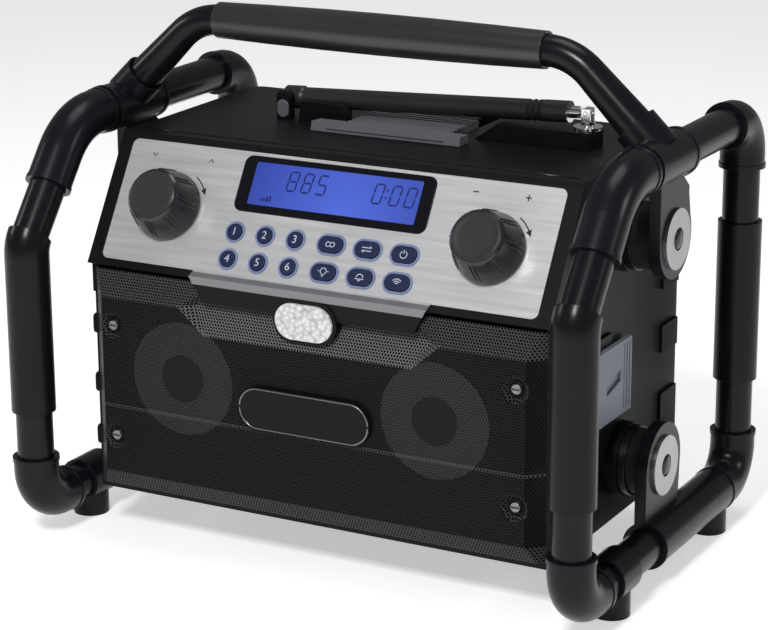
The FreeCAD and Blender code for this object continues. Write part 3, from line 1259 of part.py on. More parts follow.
def grille():
    """The folded sheet over the speakers."""
    outer = grille_block("grille_outer", 0)
    inner = grille_block("grille_inner", S.grille_sheet)
    back = box("grille_back_space", (-S.grille_half, S.grille_back_y - 0.8, S.grille_low_z + 1),
               (S.grille_half, S.grille_back_y + 1, S.grille_top_z - 1))
    hood = prism("hood_space", "XZ_Plane",
                 [(-S.hood_top_half - 0.5, S.panel_foot_z - 2),
                  (-S.hood_low_half - 0.5, S.hood_low_z - 0.3),
                  (S.hood_low_half + 0.5, S.hood_low_z - 0.3),
                  (S.hood_top_half + 0.5, S.panel_foot_z - 2)],
                 S.grille_y - 2, S.grille_back_y + 2)
    lamp = pill("lamp_clearance", S.lamp_half + S.lamp_rim + 0.3, S.lamp_radius + S.lamp_rim + 0.3,
                S.grille_y - 2, S.grille_back_y + 2, 0, S.lamp_z)
    seat_y = S.grille_y + S.pocket_depth
    holes = [rod("pocket_hole_%d" % number, S.pocket_radius, S.pocket_depth,
                 (S.screw_x * side, S.grille_y - 1, z), "+Y")
             for number, (side, z) in enumerate(screw_places())]
    pockets = [cut("screw_pocket_%d" % number,
                   rod("pocket_cup_%d" % number, S.pocket_radius + S.grille_sheet,
                       S.front_wall_y - S.grille_y, (S.screw_x * side, S.grille_y, z), "+Y"),
                   [rod("pocket_space_%d" % number, S.pocket_radius, S.pocket_depth,
                        (S.screw_x * side, S.grille_y, z), "+Y"),
                    rod("pocket_bore_%d" % number, S.screw_radius + S.trim_gap, 14,
                        (S.screw_x * side, S.grille_y, z), "+Y")])
               for number, (side, z) in enumerate(screw_places())]
    sheet = cut("grille_sheet_solid", outer, [inner, back, hood, lamp] + holes)
    node("speaker_grille", fuse("speaker_grille_solid", [sheet] + pockets))
    screws = []
    for number, (side, z) in enumerate(screw_places()):
        shank = rod("screw_shank_%d" % number, S.screw_radius, 13,
                    (S.screw_x * side, seat_y, z), "+Y")
        head = cone("screw_head_%d" % number, S.screw_head * 0.7, S.screw_head, 2.2,
                    (S.screw_x * side, seat_y - 2.2, z), "+Y")
        slot = box("screw_slot_%d" % number,
                   (S.screw_x * side - 2.6, seat_y - 3, z - 0.5),
                   (S.screw_x * side + 2.6, seat_y - 1.2, z + 0.5))
        screws.append(cut("screw_%d" % number, fuse("screw_solid_%d" % number, [shank, head]),
                          [slot]))
    node("grille_screws", group("grille_screws_group", screws))


def badge_and_lamp():
    """The bare badge on the grille, and the lamp with its board."""
    face = pill("badge_face", S.badge_half, S.badge_radius, S.grille_y - S.badge_thick,
                S.grille_y, 0, S.badge_z)
    node("badge_plate", face)
    lens = pill("lamp_lens_body", S.lamp_half, S.lamp_radius, S.lamp_y, S.front_wall_y, 0, S.lamp_z)
    node("lamp_lens", lens)
    board = box("lamp_board_sheet", (-S.lamp_half - 4, S.front_wall_y + S.wall,
                                     S.lamp_z - S.lamp_radius - 3),
                (S.lamp_half + 4, S.front_wall_y + S.wall + S.board_thick,
                 S.lamp_z + S.lamp_radius + 3))
    diodes = [box("lamp_diode_%d" % number, (x, S.front_wall_y + 0.4, S.lamp_z - 1.5),
                  (as_term(x) + 3, S.front_wall_y + S.wall, S.lamp_z + 1.5))
              for number, x in enumerate((-11.5, -1.5, 8.5))]
    node("lamp_board", fuse("lamp_board_solid", [board] + diodes))


def speakers():
    """Two loudspeakers on the back of the front wall: basket, cone and magnet."""
    flange = S.speaker_radius + 7
    basket = [(0, -38), (22, -38), (22, -24), (flange - 5, -6), (flange, -3), (flange, 0),
              (S.speaker_radius, 0), (S.speaker_radius - 1, -1.4), (S.speaker_radius - 4, -1.6),
              (14, -15), (11, -12), (6, -9.4), (0, -8.6)]
    for name, side in (("speaker_left", -1), ("speaker_right", 1)):
        lathe = revolved(name + "_body", basket)
        place(lathe, (S.speaker_x * side, S.front_wall_y + S.wall, S.speaker_z),
              Rotation(Vector(1, 0, 0), 90))
        node(name, lathe)


# Top, doors and aerial

def latch_plate_low():
    """Underside of the latch's ribbed plate, at the top of its hub."""
    return S.latch_pivot_z + S.latch_hub - 0.1


def tooth_top():
    """Top of the tooth on the latch's rear arm."""
    return S.latch_arm_z + S.latch_tooth


def door_latch():
    """The ribbed grey rocker on the deck that holds the rear door shut."""
    low, half = latch_plate_low(), S.latch_rib_half
    top = low + S.latch_thick
    first = S.channel_y + S.door_gap
    plate = box("latch_plate", (-half, first, low), (half, S.latch_pivot_y + 3, top))
    neck = box("latch_neck", (-half, S.latch_front_y + 5, S.deck_z + 0.4), (half, first + 1, top))
    lip_back = S.channel_y - 1
    lip = prism("latch_lip", "YZ_Plane",
                [(S.latch_front_y, S.deck_z + 0.3), (S.latch_front_y + 1.5, S.deck_z + S.lip_height),
                 (lip_back, S.deck_z + S.lip_height - 0.6), (lip_back, S.deck_z + 0.3)],
                -S.latch_lip_half, S.latch_lip_half)
    bead = box("latch_bead", (12 - S.latch_lip_half, S.latch_front_y - 0.4, S.deck_z + 2.4),
               (S.latch_lip_half - 12, S.latch_front_y + 2, S.deck_z + 3.4))
    pitch = (S.latch_pivot_y + 3 - lip_back) / S.rib_count
    ribs = [box("latch_rib_%d" % number, (-half, lip_back + pitch * (number + 0.3), top - 1),
                (half, lip_back + pitch * (number + 0.8), top + 0.7))
            for number in range(int(S.rib_count.value))]
    hub = rod("latch_hub_rod", S.latch_hub, half * 2, (-half, S.latch_pivot_y, S.latch_pivot_z),
              "+X")
    pin = rod("latch_pin_rod", S.latch_pin, (S.channel_half + S.wall) * 2 - 1,
              (0.5 - S.channel_half - S.wall, S.latch_pivot_y, S.latch_pivot_z), "+X")
    arm_half = S.latch_arm_half
    web = box("latch_web", (-arm_half, S.latch_pivot_y - 3, S.latch_arm_z),
              (arm_half, S.latch_pivot_y + 3, S.latch_pivot_z))
    arm = box("latch_arm", (-arm_half, S.latch_pivot_y, S.latch_arm_z),
              (arm_half, S.latch_arm_y, S.latch_arm_z + 2.5))
    tooth = box("latch_tooth_block", (-arm_half, S.latch_arm_y - 3, S.latch_arm_z),
                (arm_half, S.latch_arm_y, tooth_top()))
    node("door_latch", fuse("door_latch_solid",
                            [plate, neck, lip, bead, hub, pin, web, arm, tooth] + ribs))


def rear_door():
    """The door of the battery bay, with its barrel and the tongue that the latch holds."""
    back, gap = S.body_rear_y, S.door_gap
    inner = back - S.door_thick
    panel = box("door_panel", (-S.door_half, inner, S.door_low_z),
                (S.door_half, back, S.door_high_z))
    lip_low = tooth_top() + S.bite_gap
    tongue_low = lip_low + 2
    raised = box("door_raised", (gap - S.channel_half, inner, S.door_high_z - 1),
                 (S.channel_half - gap, back, tongue_low + S.tongue_thick))
    tongue = box("door_tongue", (-S.latch_arm_half - 6, inner - S.tongue_reach, tongue_low),
                 (S.latch_arm_half + 6, back, tongue_low + S.tongue_thick))
    lip = box("door_lip", (-S.latch_arm_half - 6, inner - S.tongue_reach, lip_low),
              (S.latch_arm_half + 6, inner - S.tongue_reach + 2.5, tongue_low + 1))
    barrel = rod("door_barrel", S.hinge_barrel, S.hinge_half * 2,
                 (-S.hinge_half, S.hinge_y, S.hinge_z), "+X")
    web = box("door_web", (-S.hinge_half, inner, S.hinge_z), (S.hinge_half, back, S.door_low_z + 1))
    pin_hole = rod("door_pin_hole", S.hinge_pin + S.pin_fit, S.hinge_half * 2,
                   (-S.hinge_half, S.hinge_y, S.hinge_z), "+X")
    ribs = [box("door_rib_%d" % number, (14 - S.door_half, back - 0.5, z),
                (S.door_half - 14, back + 0.8, as_term(z) + 2.4))
            for number, z in enumerate((92, 104, 116, 128))]
    solid = fuse("rear_door_solid", [panel, raised, tongue, lip, barrel, web] + ribs)
    node("rear_door", cut("rear_door_cut", solid, [pin_hole]))
    node("door_pin", rod("door_pin_rod", S.hinge_pin, S.hinge_half * 2 + 15,
                         (-S.hinge_half - 7.5, S.hinge_y, S.hinge_z), "+X"))


def battery_tray():
    """The open bay behind the rear door, with the contact block for a battery pack."""
    back = S.body_rear_y - S.door_thick - S.door_gap
    block = box("tray_block", (-S.tray_half, S.tray_y, S.tray_low_z),
                (S.tray_half, back, S.tray_high_z))
    hollow = box("tray_hollow",
                 (S.tray_wall - S.tray_half, S.tray_y + S.tray_wall, S.tray_low_z + S.tray_wall),
                 (S.tray_half - S.tray_wall, back + 1, S.tray_high_z - S.tray_wall))
    contacts = box("tray_contacts", (-S.contact_half, S.tray_y + 2, S.tray_high_z - 30),
                   (S.contact_half, S.tray_y + 12, S.tray_high_z - 2))
    stays = [box("tray_stay_%d" % number, (x, S.tray_y + S.stay_front, S.body_low_z + S.wall),
                 (x + 6, S.tray_y + S.stay_back, S.tray_low_z + 1))
             for number, x in enumerate((-S.tray_half + 6, S.tray_half - 12))]
    node("battery_tray", fuse("battery_tray_solid",
                              [cut("tray_shell", block, [hollow]), contacts] + stays))


def side_hatch():
    """The cover over the side sockets, with its barrel, and the grey latch on it."""
    low_x = S.body_half - S.wall + 1.2
    high_x = low_x + S.hatch_thick
    axis_x = S.body_half + 1.2
    panel = box("hatch_panel", (low_x, S.hatch_front_y, S.hatch_low_z),
                (high_x, S.hatch_rear_y, S.hatch_high_z))
    span = S.hatch_high_z - S.hatch_low_z
    barrel = rod("hatch_barrel_rod", S.hatch_barrel, span - 8,
                 (axis_x, S.hatch_pin_y, S.hatch_low_z + 4))
    web = box("hatch_web", (axis_x - 0.6, S.hatch_pin_y, S.hatch_low_z + 4),
              (high_x, S.hatch_front_y + 1, S.hatch_high_z - 4))
    stubs = rod("hatch_stubs", S.pin_radius, span - 2,
                (axis_x, S.hatch_pin_y, S.hatch_low_z + 1))
    catch_low_x = high_x + 0.4
    catch_axis_x, catch_axis_y = catch_low_x + S.catch_barrel, S.catch_pin_y
    ears, ear_holes = [], []
    for number, z in enumerate((S.catch_low_z - 3.4, S.catch_high_z + 0.4)):
        ears.append(box("hatch_ear_%d" % number, (high_x - 1, catch_axis_y - 3, z),
                        (catch_axis_x + 2.4, catch_axis_y + 3, z + 3)))
        ear_holes.append(rod("hatch_ear_hole_%d" % number, S.pin_radius + S.pin_fit, 3,
                             (catch_axis_x, catch_axis_y, z)))
    solid = fuse("side_hatch_solid", [panel, barrel, web, stubs] + ears)
    node("side_hatch", cut("side_hatch_cut", solid, ear_holes))

    plate = box("catch_plate", (catch_low_x, catch_axis_y, S.catch_low_z),
                (catch_low_x + S.catch_thick, S.catch_rear_y, S.catch_high_z))
    catch_barrel = rod("catch_barrel_rod", S.catch_barrel, S.catch_high_z - S.catch_low_z,
                       (catch_axis_x, catch_axis_y, S.catch_low_z))
    hook = box("catch_hook", (S.body_half + 0.4, S.catch_rear_y - 9, S.catch_low_z + 6),
               (catch_low_x + 1, S.catch_rear_y - 2, S.catch_high_z - 6))
    slot = prism("catch_slot", "YZ_Plane",
                 [(S.slot_front_y, S.slot_z), (S.slot_rear_y, S.slot_z + S.slot_rise),
                  (S.slot_rear_y, S.slot_z + S.slot_rise + S.slot_height),
                  (S.slot_front_y, S.slot_z + S.slot_height)], catch_low_x + 1.2, catch_low_x + 6)
    pins = rod("catch_pins", S.pin_radius, S.catch_high_z - S.catch_low_z + 6,
               (catch_axis_x, catch_axis_y, S.catch_low_z - 3))
    ribs = [box("catch_rib_%d" % number, (catch_low_x + 2, y, S.catch_low_z + 3),
                (catch_low_x + S.catch_thick + 0.5, as_term(y) + 1.4, S.catch_high_z - 3))
            for number, y in enumerate((-1, 3, 7))]
    node("side_latch", fuse("side_latch_solid",
                            [cut("catch_slotted", plate, [slot]), catch_barrel, hook, pins] + ribs))


def lower_board():
    """The amplifier board on the floor of the rear casing."""
    board = box("lower_board_sheet", (-S.lower_board_half, -22, S.lower_board_z),
                (S.lower_board_half, 24, S.lower_board_z + S.board_thick))
    heat_sink = box("lower_heat_sink", (S.sink_left_x, -6, S.lower_board_z + 1),
                    (S.sink_right_x, 18, S.sink_z))
    coil = rod("lower_coil", S.coil_radius, S.coil_height, (S.coil_x, 0, S.lower_board_z + 1))
    node("amplifier_board", fuse("amplifier_board_solid", [board, heat_sink, coil]))


def aerial():
    """The turning base on the right block, and the rubber rod that tilts on it."""
    deck = S.stand_z
    flange = rod("mast_flange_disc", S.mast_flange, 2.2, (S.mast_x, S.mast_y, deck + 0.2))
    post = rod("mast_post", S.knuckle_radius + 1, S.mast_z - deck - 5.4,
               (S.mast_x, S.mast_y, deck + 0.2))
    cheeks = [box("mast_cheek_%d" % number, (S.mast_x - S.cheek_half, y, deck + 2),
                  (S.mast_x + S.cheek_half, as_term(y) + 1.6, S.mast_z + S.cheek_half))
              for number, y in enumerate((S.mast_y - S.knuckle_half - 1.9,
                                          S.mast_y + S.knuckle_half + 0.3))]
    pin = rod("mast_pin", S.pin_radius, 9, (S.mast_x, S.mast_y - 4.5, S.mast_z), "+Y")
    node("aerial_base", fuse("aerial_base_solid", [flange, post, pin] + cheeks))

    length, tip = S.rod_length, S.rod_tip_length
    lathe = revolved("rod_lathe", [
        (0, 12), (S.rod_radius + 0.3, 12), (S.rod_radius + 0.3, 30), (S.rod_radius - 0.7, 31),
        (S.rod_radius + 0.3, 32), (S.rod_radius - 0.7, 35), (S.rod_radius + 0.3, 36),
        (S.rod_radius - 0.7, 39), (S.rod_radius + 0.2, 40), (S.rod_radius, length - tip),
        (S.rod_tip_radius, length - tip + 2), (S.rod_tip_radius, length - 3),
        (S.rod_tip_radius - 2, length - 0.8), (0, length)])
    collar_low = S.cheek_half * 1.6
    neck = rod("rod_neck", S.knuckle_half - 0.2, collar_low - 1, (0, 0, 2))
    collar = rod("rod_collar", S.knuckle_radius + 0.4, 12.5 - collar_low, (0, 0, collar_low))
    knuckle = rod("rod_knuckle", S.knuckle_radius, S.knuckle_half * 2, (0, -S.knuckle_half, 0),
                  "+Y")
    hole = rod("rod_knuckle_hole", S.pin_radius + S.pin_fit, 6, (0, -3, 0), "+Y")
    eye = cut("rod_eye", knuckle, [hole])
    upright = fuse("rod_upright", [lathe, neck, collar, eye])
    place(upright, (S.mast_x, S.mast_y, S.mast_z),
          Rotation(Vector(0, 1, 0), -90 - S.mast_sag.value))
    bind(upright, "Placement.Rotation.Angle", -90 - S.mast_sag)
    node("aerial_rod", upright)


def build():
    """Make every sub-part."""
    pipes()
    sleeves()
    elbows()
    feet()
    lower_brackets()
    handle_tees()
    handle()
    dampers()
    front_casing()
    rear_casing()
    damper_seats()
    side_pads()
    aerial_rest()
    control_plate()
    display()
    keys()
    control_board()
    knobs()
    grille()
    badge_and_lamp()
    speakers()
    door_latch()
    rear_door()
    battery_tray()
    side_hatch()
    lower_board()
    aerial()
    DOC.recompute()


def check():
    """Stop if any object failed to recompute or any sub-part isn't a sound solid."""
    for thing in DOC.Objects:
        if "Invalid" in thing.State or "Error" in thing.State:
            raise RuntimeError("%s did not recompute" % thing.Name)
    for name, thing in NODES.items():
        if thing.Shape.isNull() or not thing.Shape.isValid() or not thing.Shape.Solids:
            raise RuntimeError("%s is not a sound solid" % name)


def write():
    """Write each sub-part's shape under its own name."""
    os.makedirs("parts", exist_ok=True)
    for name, thing in NODES.items():
        thing.Shape.exportStep("parts/%s.step" % name)


build()
check()
write()
print("%d sub-parts written" % len(NODES))
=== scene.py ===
# %% [markdown]
# # A jobsite radio in a cage of pipes
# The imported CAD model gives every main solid: pipes, casing, plate, keys, knobs and doors.
# This lesson loads it, gives each solid the finish of the real thing, and adds what only
# shows close up: the lit display, legends, knob ribs, rims, bolt heads and pads.
# Lengths in this file are in millimetres and become metres in one place.

# %% Load the frame
import bmesh
import bpy
import json
import math
import numpy as np
from mathutils import Matrix, Vector

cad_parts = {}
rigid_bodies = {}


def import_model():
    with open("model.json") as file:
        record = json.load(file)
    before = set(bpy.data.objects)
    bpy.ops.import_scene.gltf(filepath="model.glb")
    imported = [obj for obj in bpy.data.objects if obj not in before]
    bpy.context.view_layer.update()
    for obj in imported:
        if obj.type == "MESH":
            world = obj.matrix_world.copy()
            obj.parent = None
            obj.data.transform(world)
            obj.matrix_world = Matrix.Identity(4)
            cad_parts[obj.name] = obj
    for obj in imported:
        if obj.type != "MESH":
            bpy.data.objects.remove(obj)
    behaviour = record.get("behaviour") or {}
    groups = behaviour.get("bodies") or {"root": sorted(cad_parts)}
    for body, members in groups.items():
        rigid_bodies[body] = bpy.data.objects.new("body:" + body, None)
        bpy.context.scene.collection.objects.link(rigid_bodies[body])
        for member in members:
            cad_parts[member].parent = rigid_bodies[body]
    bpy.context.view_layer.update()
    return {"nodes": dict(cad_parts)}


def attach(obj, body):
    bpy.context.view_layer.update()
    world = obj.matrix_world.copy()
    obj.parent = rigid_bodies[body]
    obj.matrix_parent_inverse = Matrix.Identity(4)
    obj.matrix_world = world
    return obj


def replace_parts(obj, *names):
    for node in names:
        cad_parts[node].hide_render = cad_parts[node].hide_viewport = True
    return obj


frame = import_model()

# %% [markdown]
# ## Building surfaces from arrays
# Each new piece is a grid of points worked out in one go with numpy. A grid joined to
# itself along one direction is a tube, and a closed cap is a ring shrunk to a point. The
# same few functions then serve rims, ribs, pads and printed marks.

# %% Mesh helpers
MM = 0.001
RADIO = "radio"


def put_in_scene(name, points, faces, body, material, smooth=True):
    """A piece from points in millimetres, riding on a body, with one material."""
    mesh = bpy.data.meshes.new(name)
    mesh.from_pydata((np.asarray(points, float) * MM).tolist(), [], faces)
    mesh.update()
    mesh.polygons.foreach_set("use_smooth", np.full(len(mesh.polygons), smooth))
    piece = bpy.data.objects.new(name, mesh)
    bpy.context.scene.collection.objects.link(piece)
    mesh.materials.append(material)
    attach(piece, body)
    return piece


def grid_faces(rows, columns, wrap_rows=False, wrap_columns=False):
    """Quads of a grid of points, joined to itself where a direction wraps."""
    r = np.arange(rows if wrap_rows else rows - 1)
    c = np.arange(columns if wrap_columns else columns - 1)
    r, c = np.meshgrid(r, c, indexing="ij")
    r2, c2 = (r + 1) % rows, (c + 1) % columns
    quads = np.stack([r * columns + c, r * columns + c2, r2 * columns + c2, r2 * columns + c], -1)
    return quads.reshape(-1, 4).tolist()


def tube_along(path, radius, sides=16, closed=False):
    """Points of a tube: a circle carried along a path, square to it at each point."""
    path = np.asarray(path, float)
    ahead = np.roll(path, -1, 0) - np.roll(path, 1, 0)
    if not closed:
        ahead[0], ahead[-1] = path[1] - path[0], path[-1] - path[-2]
    ahead /= np.linalg.norm(ahead, axis=1, keepdims=True)
    guide = np.array([0.0, 0.0, 1.0]) if abs(ahead[0, 2]) < 0.9 else np.array([1.0, 0.0, 0.0])
    side = np.cross(ahead, guide)
    side /= np.linalg.norm(side, axis=1, keepdims=True)
    up = np.cross(side, ahead)
    turn = np.linspace(0, 2 * np.pi, sides, endpoint=False)
    radius = np.broadcast_to(np.asarray(radius, float), (len(path),))
    ring = side[:, None] * np.cos(turn)[None, :, None] + up[:, None] * np.sin(turn)[None, :, None]
    return path[:, None] + ring * radius[:, None, None]


def capped_tube(path, radius, sides=16):
    """A tube whose open ends are drawn in to a point."""
    points = tube_along(path, radius, sides)
    first, last = (np.broadcast_to(points[i].mean(0), points[i].shape) for i in (0, -1))
    return np.concatenate([first[None], points, last[None]])


def shells_piece(name, shells, body, material, closed=False):
    """One piece from several tubes of points."""
    points, faces, count = [], [], 0
    for shell in shells:
        rows, columns = shell.shape[:2]
        quads = np.array(grid_faces(rows, columns, wrap_rows=closed, wrap_columns=True))
        faces.append(quads + count)
        points.append(shell.reshape(-1, 3))
        count += rows * columns
    piece = put_in_scene(name, np.concatenate(points), np.concatenate(faces).tolist(), body,
                         material)
    close_up(piece)
    return piece


def close_up(piece):
    """Merge doubled points and turn every face outwards."""
    work = bmesh.new()
    work.from_mesh(piece.data)
    bmesh.ops.remove_doubles(work, verts=work.verts, dist=1e-7)
    bmesh.ops.dissolve_degenerate(work, edges=work.edges, dist=1e-8)
    bmesh.ops.recalc_face_normals(work, faces=work.faces)
    work.to_mesh(piece.data)
    work.free()


def capped_rings(name, rings, material):
    """A closed piece on the radio: rings one over another, with a flat face at each end."""
    points = np.stack(rings)
    layers, count = points.shape[:2]
    faces = grid_faces(layers, count, wrap_columns=True)
    faces.append(list(range((layers - 1) * count, layers * count)))
    faces.append(list(range(count))[::-1])
    piece = put_in_scene(name, points.reshape(-1, 3), faces, RADIO, material, smooth=False)
    close_up(piece)
    return piece


# %% [markdown]
# ## The leaning panel
# The control panel leans back by 31.6 degrees. Marks, keys and knobs on it are placed by
# u to the right, v up the slope and w out of the face, so one function turns those three
# into the radio's own frame.

# %% Panel coordinates
LEAN = math.radians(31.6)
PANEL_FOOT = np.array([0.0, -101.8, 190.7])
RIGHT = np.array([1.0, 0.0, 0.0])
UP_PANEL = np.array([0.0, math.sin(LEAN), math.cos(LEAN)])
OUT_PANEL = np.array([0.0, -math.cos(LEAN), math.sin(LEAN)])


def on_panel(u, v, w):
    """The point at u, v, w: the panel's foot plus each axis times its coordinate."""
    u, v, w = np.broadcast_arrays(np.asarray(u, float), v, w)
    return (PANEL_FOOT + u[..., None] * RIGHT + v[..., None] * UP_PANEL
            + w[..., None] * OUT_PANEL)


def ribbon(name, line, width, w, body, material):
    """A flat printed stroke: the line moved half its width to each side."""
    line = np.asarray(line, float)
    ahead = np.gradient(line, axis=0)
    ahead /= np.linalg.norm(ahead, axis=1, keepdims=True)
    side = np.stack([-ahead[:, 1], ahead[:, 0]], 1) * width / 2
    edges = np.stack([line + side, line - side], 1)
    points = on_panel(edges[..., 0], edges[..., 1], w)
    faces = grid_faces(len(line), 2)
    return put_in_scene(name, points.reshape(-1, 3), faces, body, material, smooth=False)


def arc(centre, radius, first, last, count=24):
    """Points of an arc between two angles in degrees."""
    angle = np.radians(np.linspace(first, last, count))
    return np.stack([centre[0] + radius * np.cos(angle), centre[1] + radius * np.sin(angle)], 1)


def rounded_rectangle(u0, v0, u1, v1, radius, count=8):
    """Corners of a rectangle with arcs at its corners."""
    centres = ((u1 - radius, v1 - radius, 0), (u0 + radius, v1 - radius, 90),
               (u0 + radius, v0 + radius, 180), (u1 - radius, v0 + radius, 270))
    return np.concatenate([arc((u, v), radius, first, first + 90, count)
                           for u, v, first in centres])


def filled(name, corners, w, body, material):
    """A flat printed area with the given corners."""
    corners = np.asarray(corners, float)
    points = on_panel(corners[:, 0], corners[:, 1], w)
    return put_in_scene(name, points, [list(range(len(corners)))], body, material, smooth=False)


PANEL_TOP = 81.8
print("panel top edge at", on_panel(0, PANEL_TOP, 0).round(1))

# %% [markdown]
# ## Materials
# Black things differ by their gloss and grain, not by their colour. One function mixes a
# soft variation into the colour and the roughness and adds a fine bump, so that each
# finish is a few numbers: how dark, how glossy, how coarse the grain and how deep.

# %% Node helpers
def new_material(name):
    """An empty node material with its output and a Principled shader."""
    material = bpy.data.materials.new(name)
    material.use_nodes = True
    nodes = material.node_tree.nodes
    nodes.clear()
    output = nodes.new("ShaderNodeOutputMaterial")
    shader = nodes.new("ShaderNodeBsdfPrincipled")
    material.node_tree.links.new(shader.outputs[0], output.inputs["Surface"])
    return material, shader


def calculate(material, operation, first, second=None, clamp=False):
    """A Math node on sockets or numbers."""
    node = material.node_tree.nodes.new("ShaderNodeMath")
    node.operation = operation
    node.use_clamp = clamp
    for socket, value in zip(node.inputs, (first, second)):
        if value is None:
            continue
        if isinstance(value, (int, float)):
            socket.default_value = value
        else:
            material.node_tree.links.new(value, socket)
    return node.outputs[0]


def object_axes(material):
    """Object coordinates, and each of them in millimetres."""
    nodes, links = material.node_tree.nodes, material.node_tree.links
    place = nodes.new("ShaderNodeTexCoord").outputs["Object"]
    split = nodes.new("ShaderNodeSeparateXYZ")
    links.new(place, split.inputs[0])
    return place, [calculate(material, "MULTIPLY", split.outputs[i], 1000.0) for i in range(3)]


def length_of(material, across, up):
    """The root of the sum of two squares."""
    square = calculate(material, "ADD", calculate(material, "MULTIPLY", across, across),
                       calculate(material, "MULTIPLY", up, up))
    return calculate(material, "SQRT", square)


def distance_from(material, across, up, centre_across, centre_up):
    """Distance in millimetres from a point, seen along one axis."""
    return length_of(material, calculate(material, "SUBTRACT", across, centre_across),
                     calculate(material, "SUBTRACT", up, centre_up))


def noise(material, place, scale, stretch=(1, 1, 1), detail=3.0):
    """A noise pattern, finer for a larger scale and drawn out by stretch."""
    nodes, links = material.node_tree.nodes, material.node_tree.links
    mapping = nodes.new("ShaderNodeMapping")
    mapping.inputs["Scale"].default_value = stretch
    pattern = nodes.new("ShaderNodeTexNoise")
    pattern.inputs["Scale"].default_value = scale
    pattern.inputs["Detail"].default_value = detail
    links.new(place, mapping.inputs["Vector"])
    links.new(mapping.outputs[0], pattern.inputs["Vector"])
    return pattern.outputs["Fac"]


def blend_colours(material, share, first, second):
    """First colour where share is 0, second where it is 1."""
    node = material.node_tree.nodes.new("ShaderNodeMix")
    node.data_type = "RGBA"
    links = material.node_tree.links
    links.new(share, node.inputs["Factor"])
    for socket, colour in zip((node.inputs[6], node.inputs[7]), (first, second)):
        if isinstance(colour, tuple):
            socket.default_value = colour + (1.0,)
        else:
            links.new(colour, socket)
    return node.outputs[2]


def add_bump(material, shader, height, depth_mm, strength=1.0):
    """Raise the surface by a pattern, depth_mm at its brightest."""
    bump = material.node_tree.nodes.new("ShaderNodeBump")
    bump.inputs["Strength"].default_value = strength
    bump.inputs["Distance"].default_value = depth_mm * MM
    links = material.node_tree.links
    links.new(height, bump.inputs["Height"])
    links.new(bump.outputs[0], shader.inputs["Normal"])
    return bump


def soften_edges(material, bump, radius_mm=0.7):
    """Catch light on sharp edges as a moulded radius would."""
    bevel = material.node_tree.nodes.new("ShaderNodeBevel")
    bevel.samples = 4
    bevel.inputs["Radius"].default_value = radius_mm * MM
    material.node_tree.links.new(bevel.outputs[0], bump.inputs["Normal"])


def moulded(name, dark, light, rough, grain=1200, depth=0.03, metallic=0.0, coat=0.0,
            patches=22, rough_spread=0.08, gloss=0.22):
    """A moulded, painted or rubber finish with patches of gloss and a fine grain."""
    material, shader = new_material(name)
    place, _ = object_axes(material)
    cloud = noise(material, place, patches)
    colour = blend_colours(material, cloud, dark, light)
    links = material.node_tree.links
    links.new(colour, shader.inputs["Base Color"])
    spread = calculate(material, "MULTIPLY_ADD", cloud, rough_spread)
    spread.node.inputs[2].default_value = rough - rough_spread / 2
    links.new(spread, shader.inputs["Roughness"])
    shader.inputs["Metallic"].default_value = metallic
    shader.inputs["Coat Weight"].default_value = coat
    shader.inputs["Coat Roughness"].default_value = 0.2
    shader.inputs["Specular IOR Level"].default_value = gloss
    bump = add_bump(material, shader, noise(material, place, grain, detail=2.0), depth)
    soften_edges(material, bump)
    return material


# %% [markdown]
# ## Plain finishes
# The pipes have a satin coat with a hint of blue. The casing is grained charcoal plastic,
# the sleeves and the grip are softer and duller, and the fittings sit between the two.

# %% Plain finishes
pipe_coat = moulded("satin_pipe_coat", (0.004, 0.004, 0.006), (0.007, 0.007, 0.009), 0.25,
                    grain=700, depth=0.008, coat=0.10, gloss=0.14)
fitting_skin = moulded("fitting_plastic", (0.005, 0.005, 0.007), (0.008, 0.008, 0.011), 0.28,
                       grain=1500, depth=0.012, coat=0.08, gloss=0.13)
sleeve_skin = moulded("sleeve_rubber", (0.004, 0.004, 0.005), (0.007, 0.007, 0.008), 0.28,
                      grain=1700, depth=0.015, coat=0.08, gloss=0.12)
grip_skin = moulded("grip_rubber", (0.013, 0.013, 0.014), (0.020, 0.020, 0.021), 0.30,
                    grain=900, depth=0.01, gloss=0.6)
casing_skin = moulded("charcoal_casing", (0.003, 0.003, 0.004), (0.006, 0.006, 0.007), 0.42,
                      grain=1900, depth=0.03, gloss=0.13)
damper_rubber = moulded("damper_rubber", (0.010, 0.010, 0.010), (0.018, 0.018, 0.018), 0.6)
latch_plastic = moulded("latch_grey", (0.085, 0.09, 0.10), (0.12, 0.125, 0.135), 0.5, depth=0.03)
catch_plastic = moulded("catch_blue_grey", (0.13, 0.145, 0.18), (0.20, 0.22, 0.27), 0.45)
knob_plastic = moulded("knob_black", (0.008, 0.008, 0.009), (0.013, 0.013, 0.015), 0.24,
                       grain=1500, depth=0.01, gloss=0.5)
knob_face = moulded("knob_face", (0.020, 0.020, 0.022), (0.030, 0.030, 0.032), 0.38, depth=0.02)
key_cap = moulded("key_navy", (0.013, 0.016, 0.046), (0.019, 0.023, 0.062), 0.32)
board_green = moulded("circuit_board", (0.01, 0.10, 0.04), (0.02, 0.16, 0.07), 0.4)
speaker_paper = moulded("speaker_paper", (0.02, 0.02, 0.02), (0.035, 0.035, 0.035), 0.7)
steel = moulded("bolt_steel", (0.30, 0.30, 0.31), (0.42, 0.42, 0.43), 0.34, metallic=1.0,
                depth=0.01)
chrome = moulded("polished_chrome", (0.72, 0.72, 0.74), (0.85, 0.85, 0.87), 0.10, metallic=1.0,
                 depth=0.004, rough_spread=0.03)
dark_steel = moulded("screw_steel", (0.16, 0.16, 0.17), (0.25, 0.25, 0.26), 0.3, metallic=1.0)
ink_black = moulded("printed_ink", (0.012, 0.012, 0.014), (0.02, 0.02, 0.022), 0.5, depth=0.005)
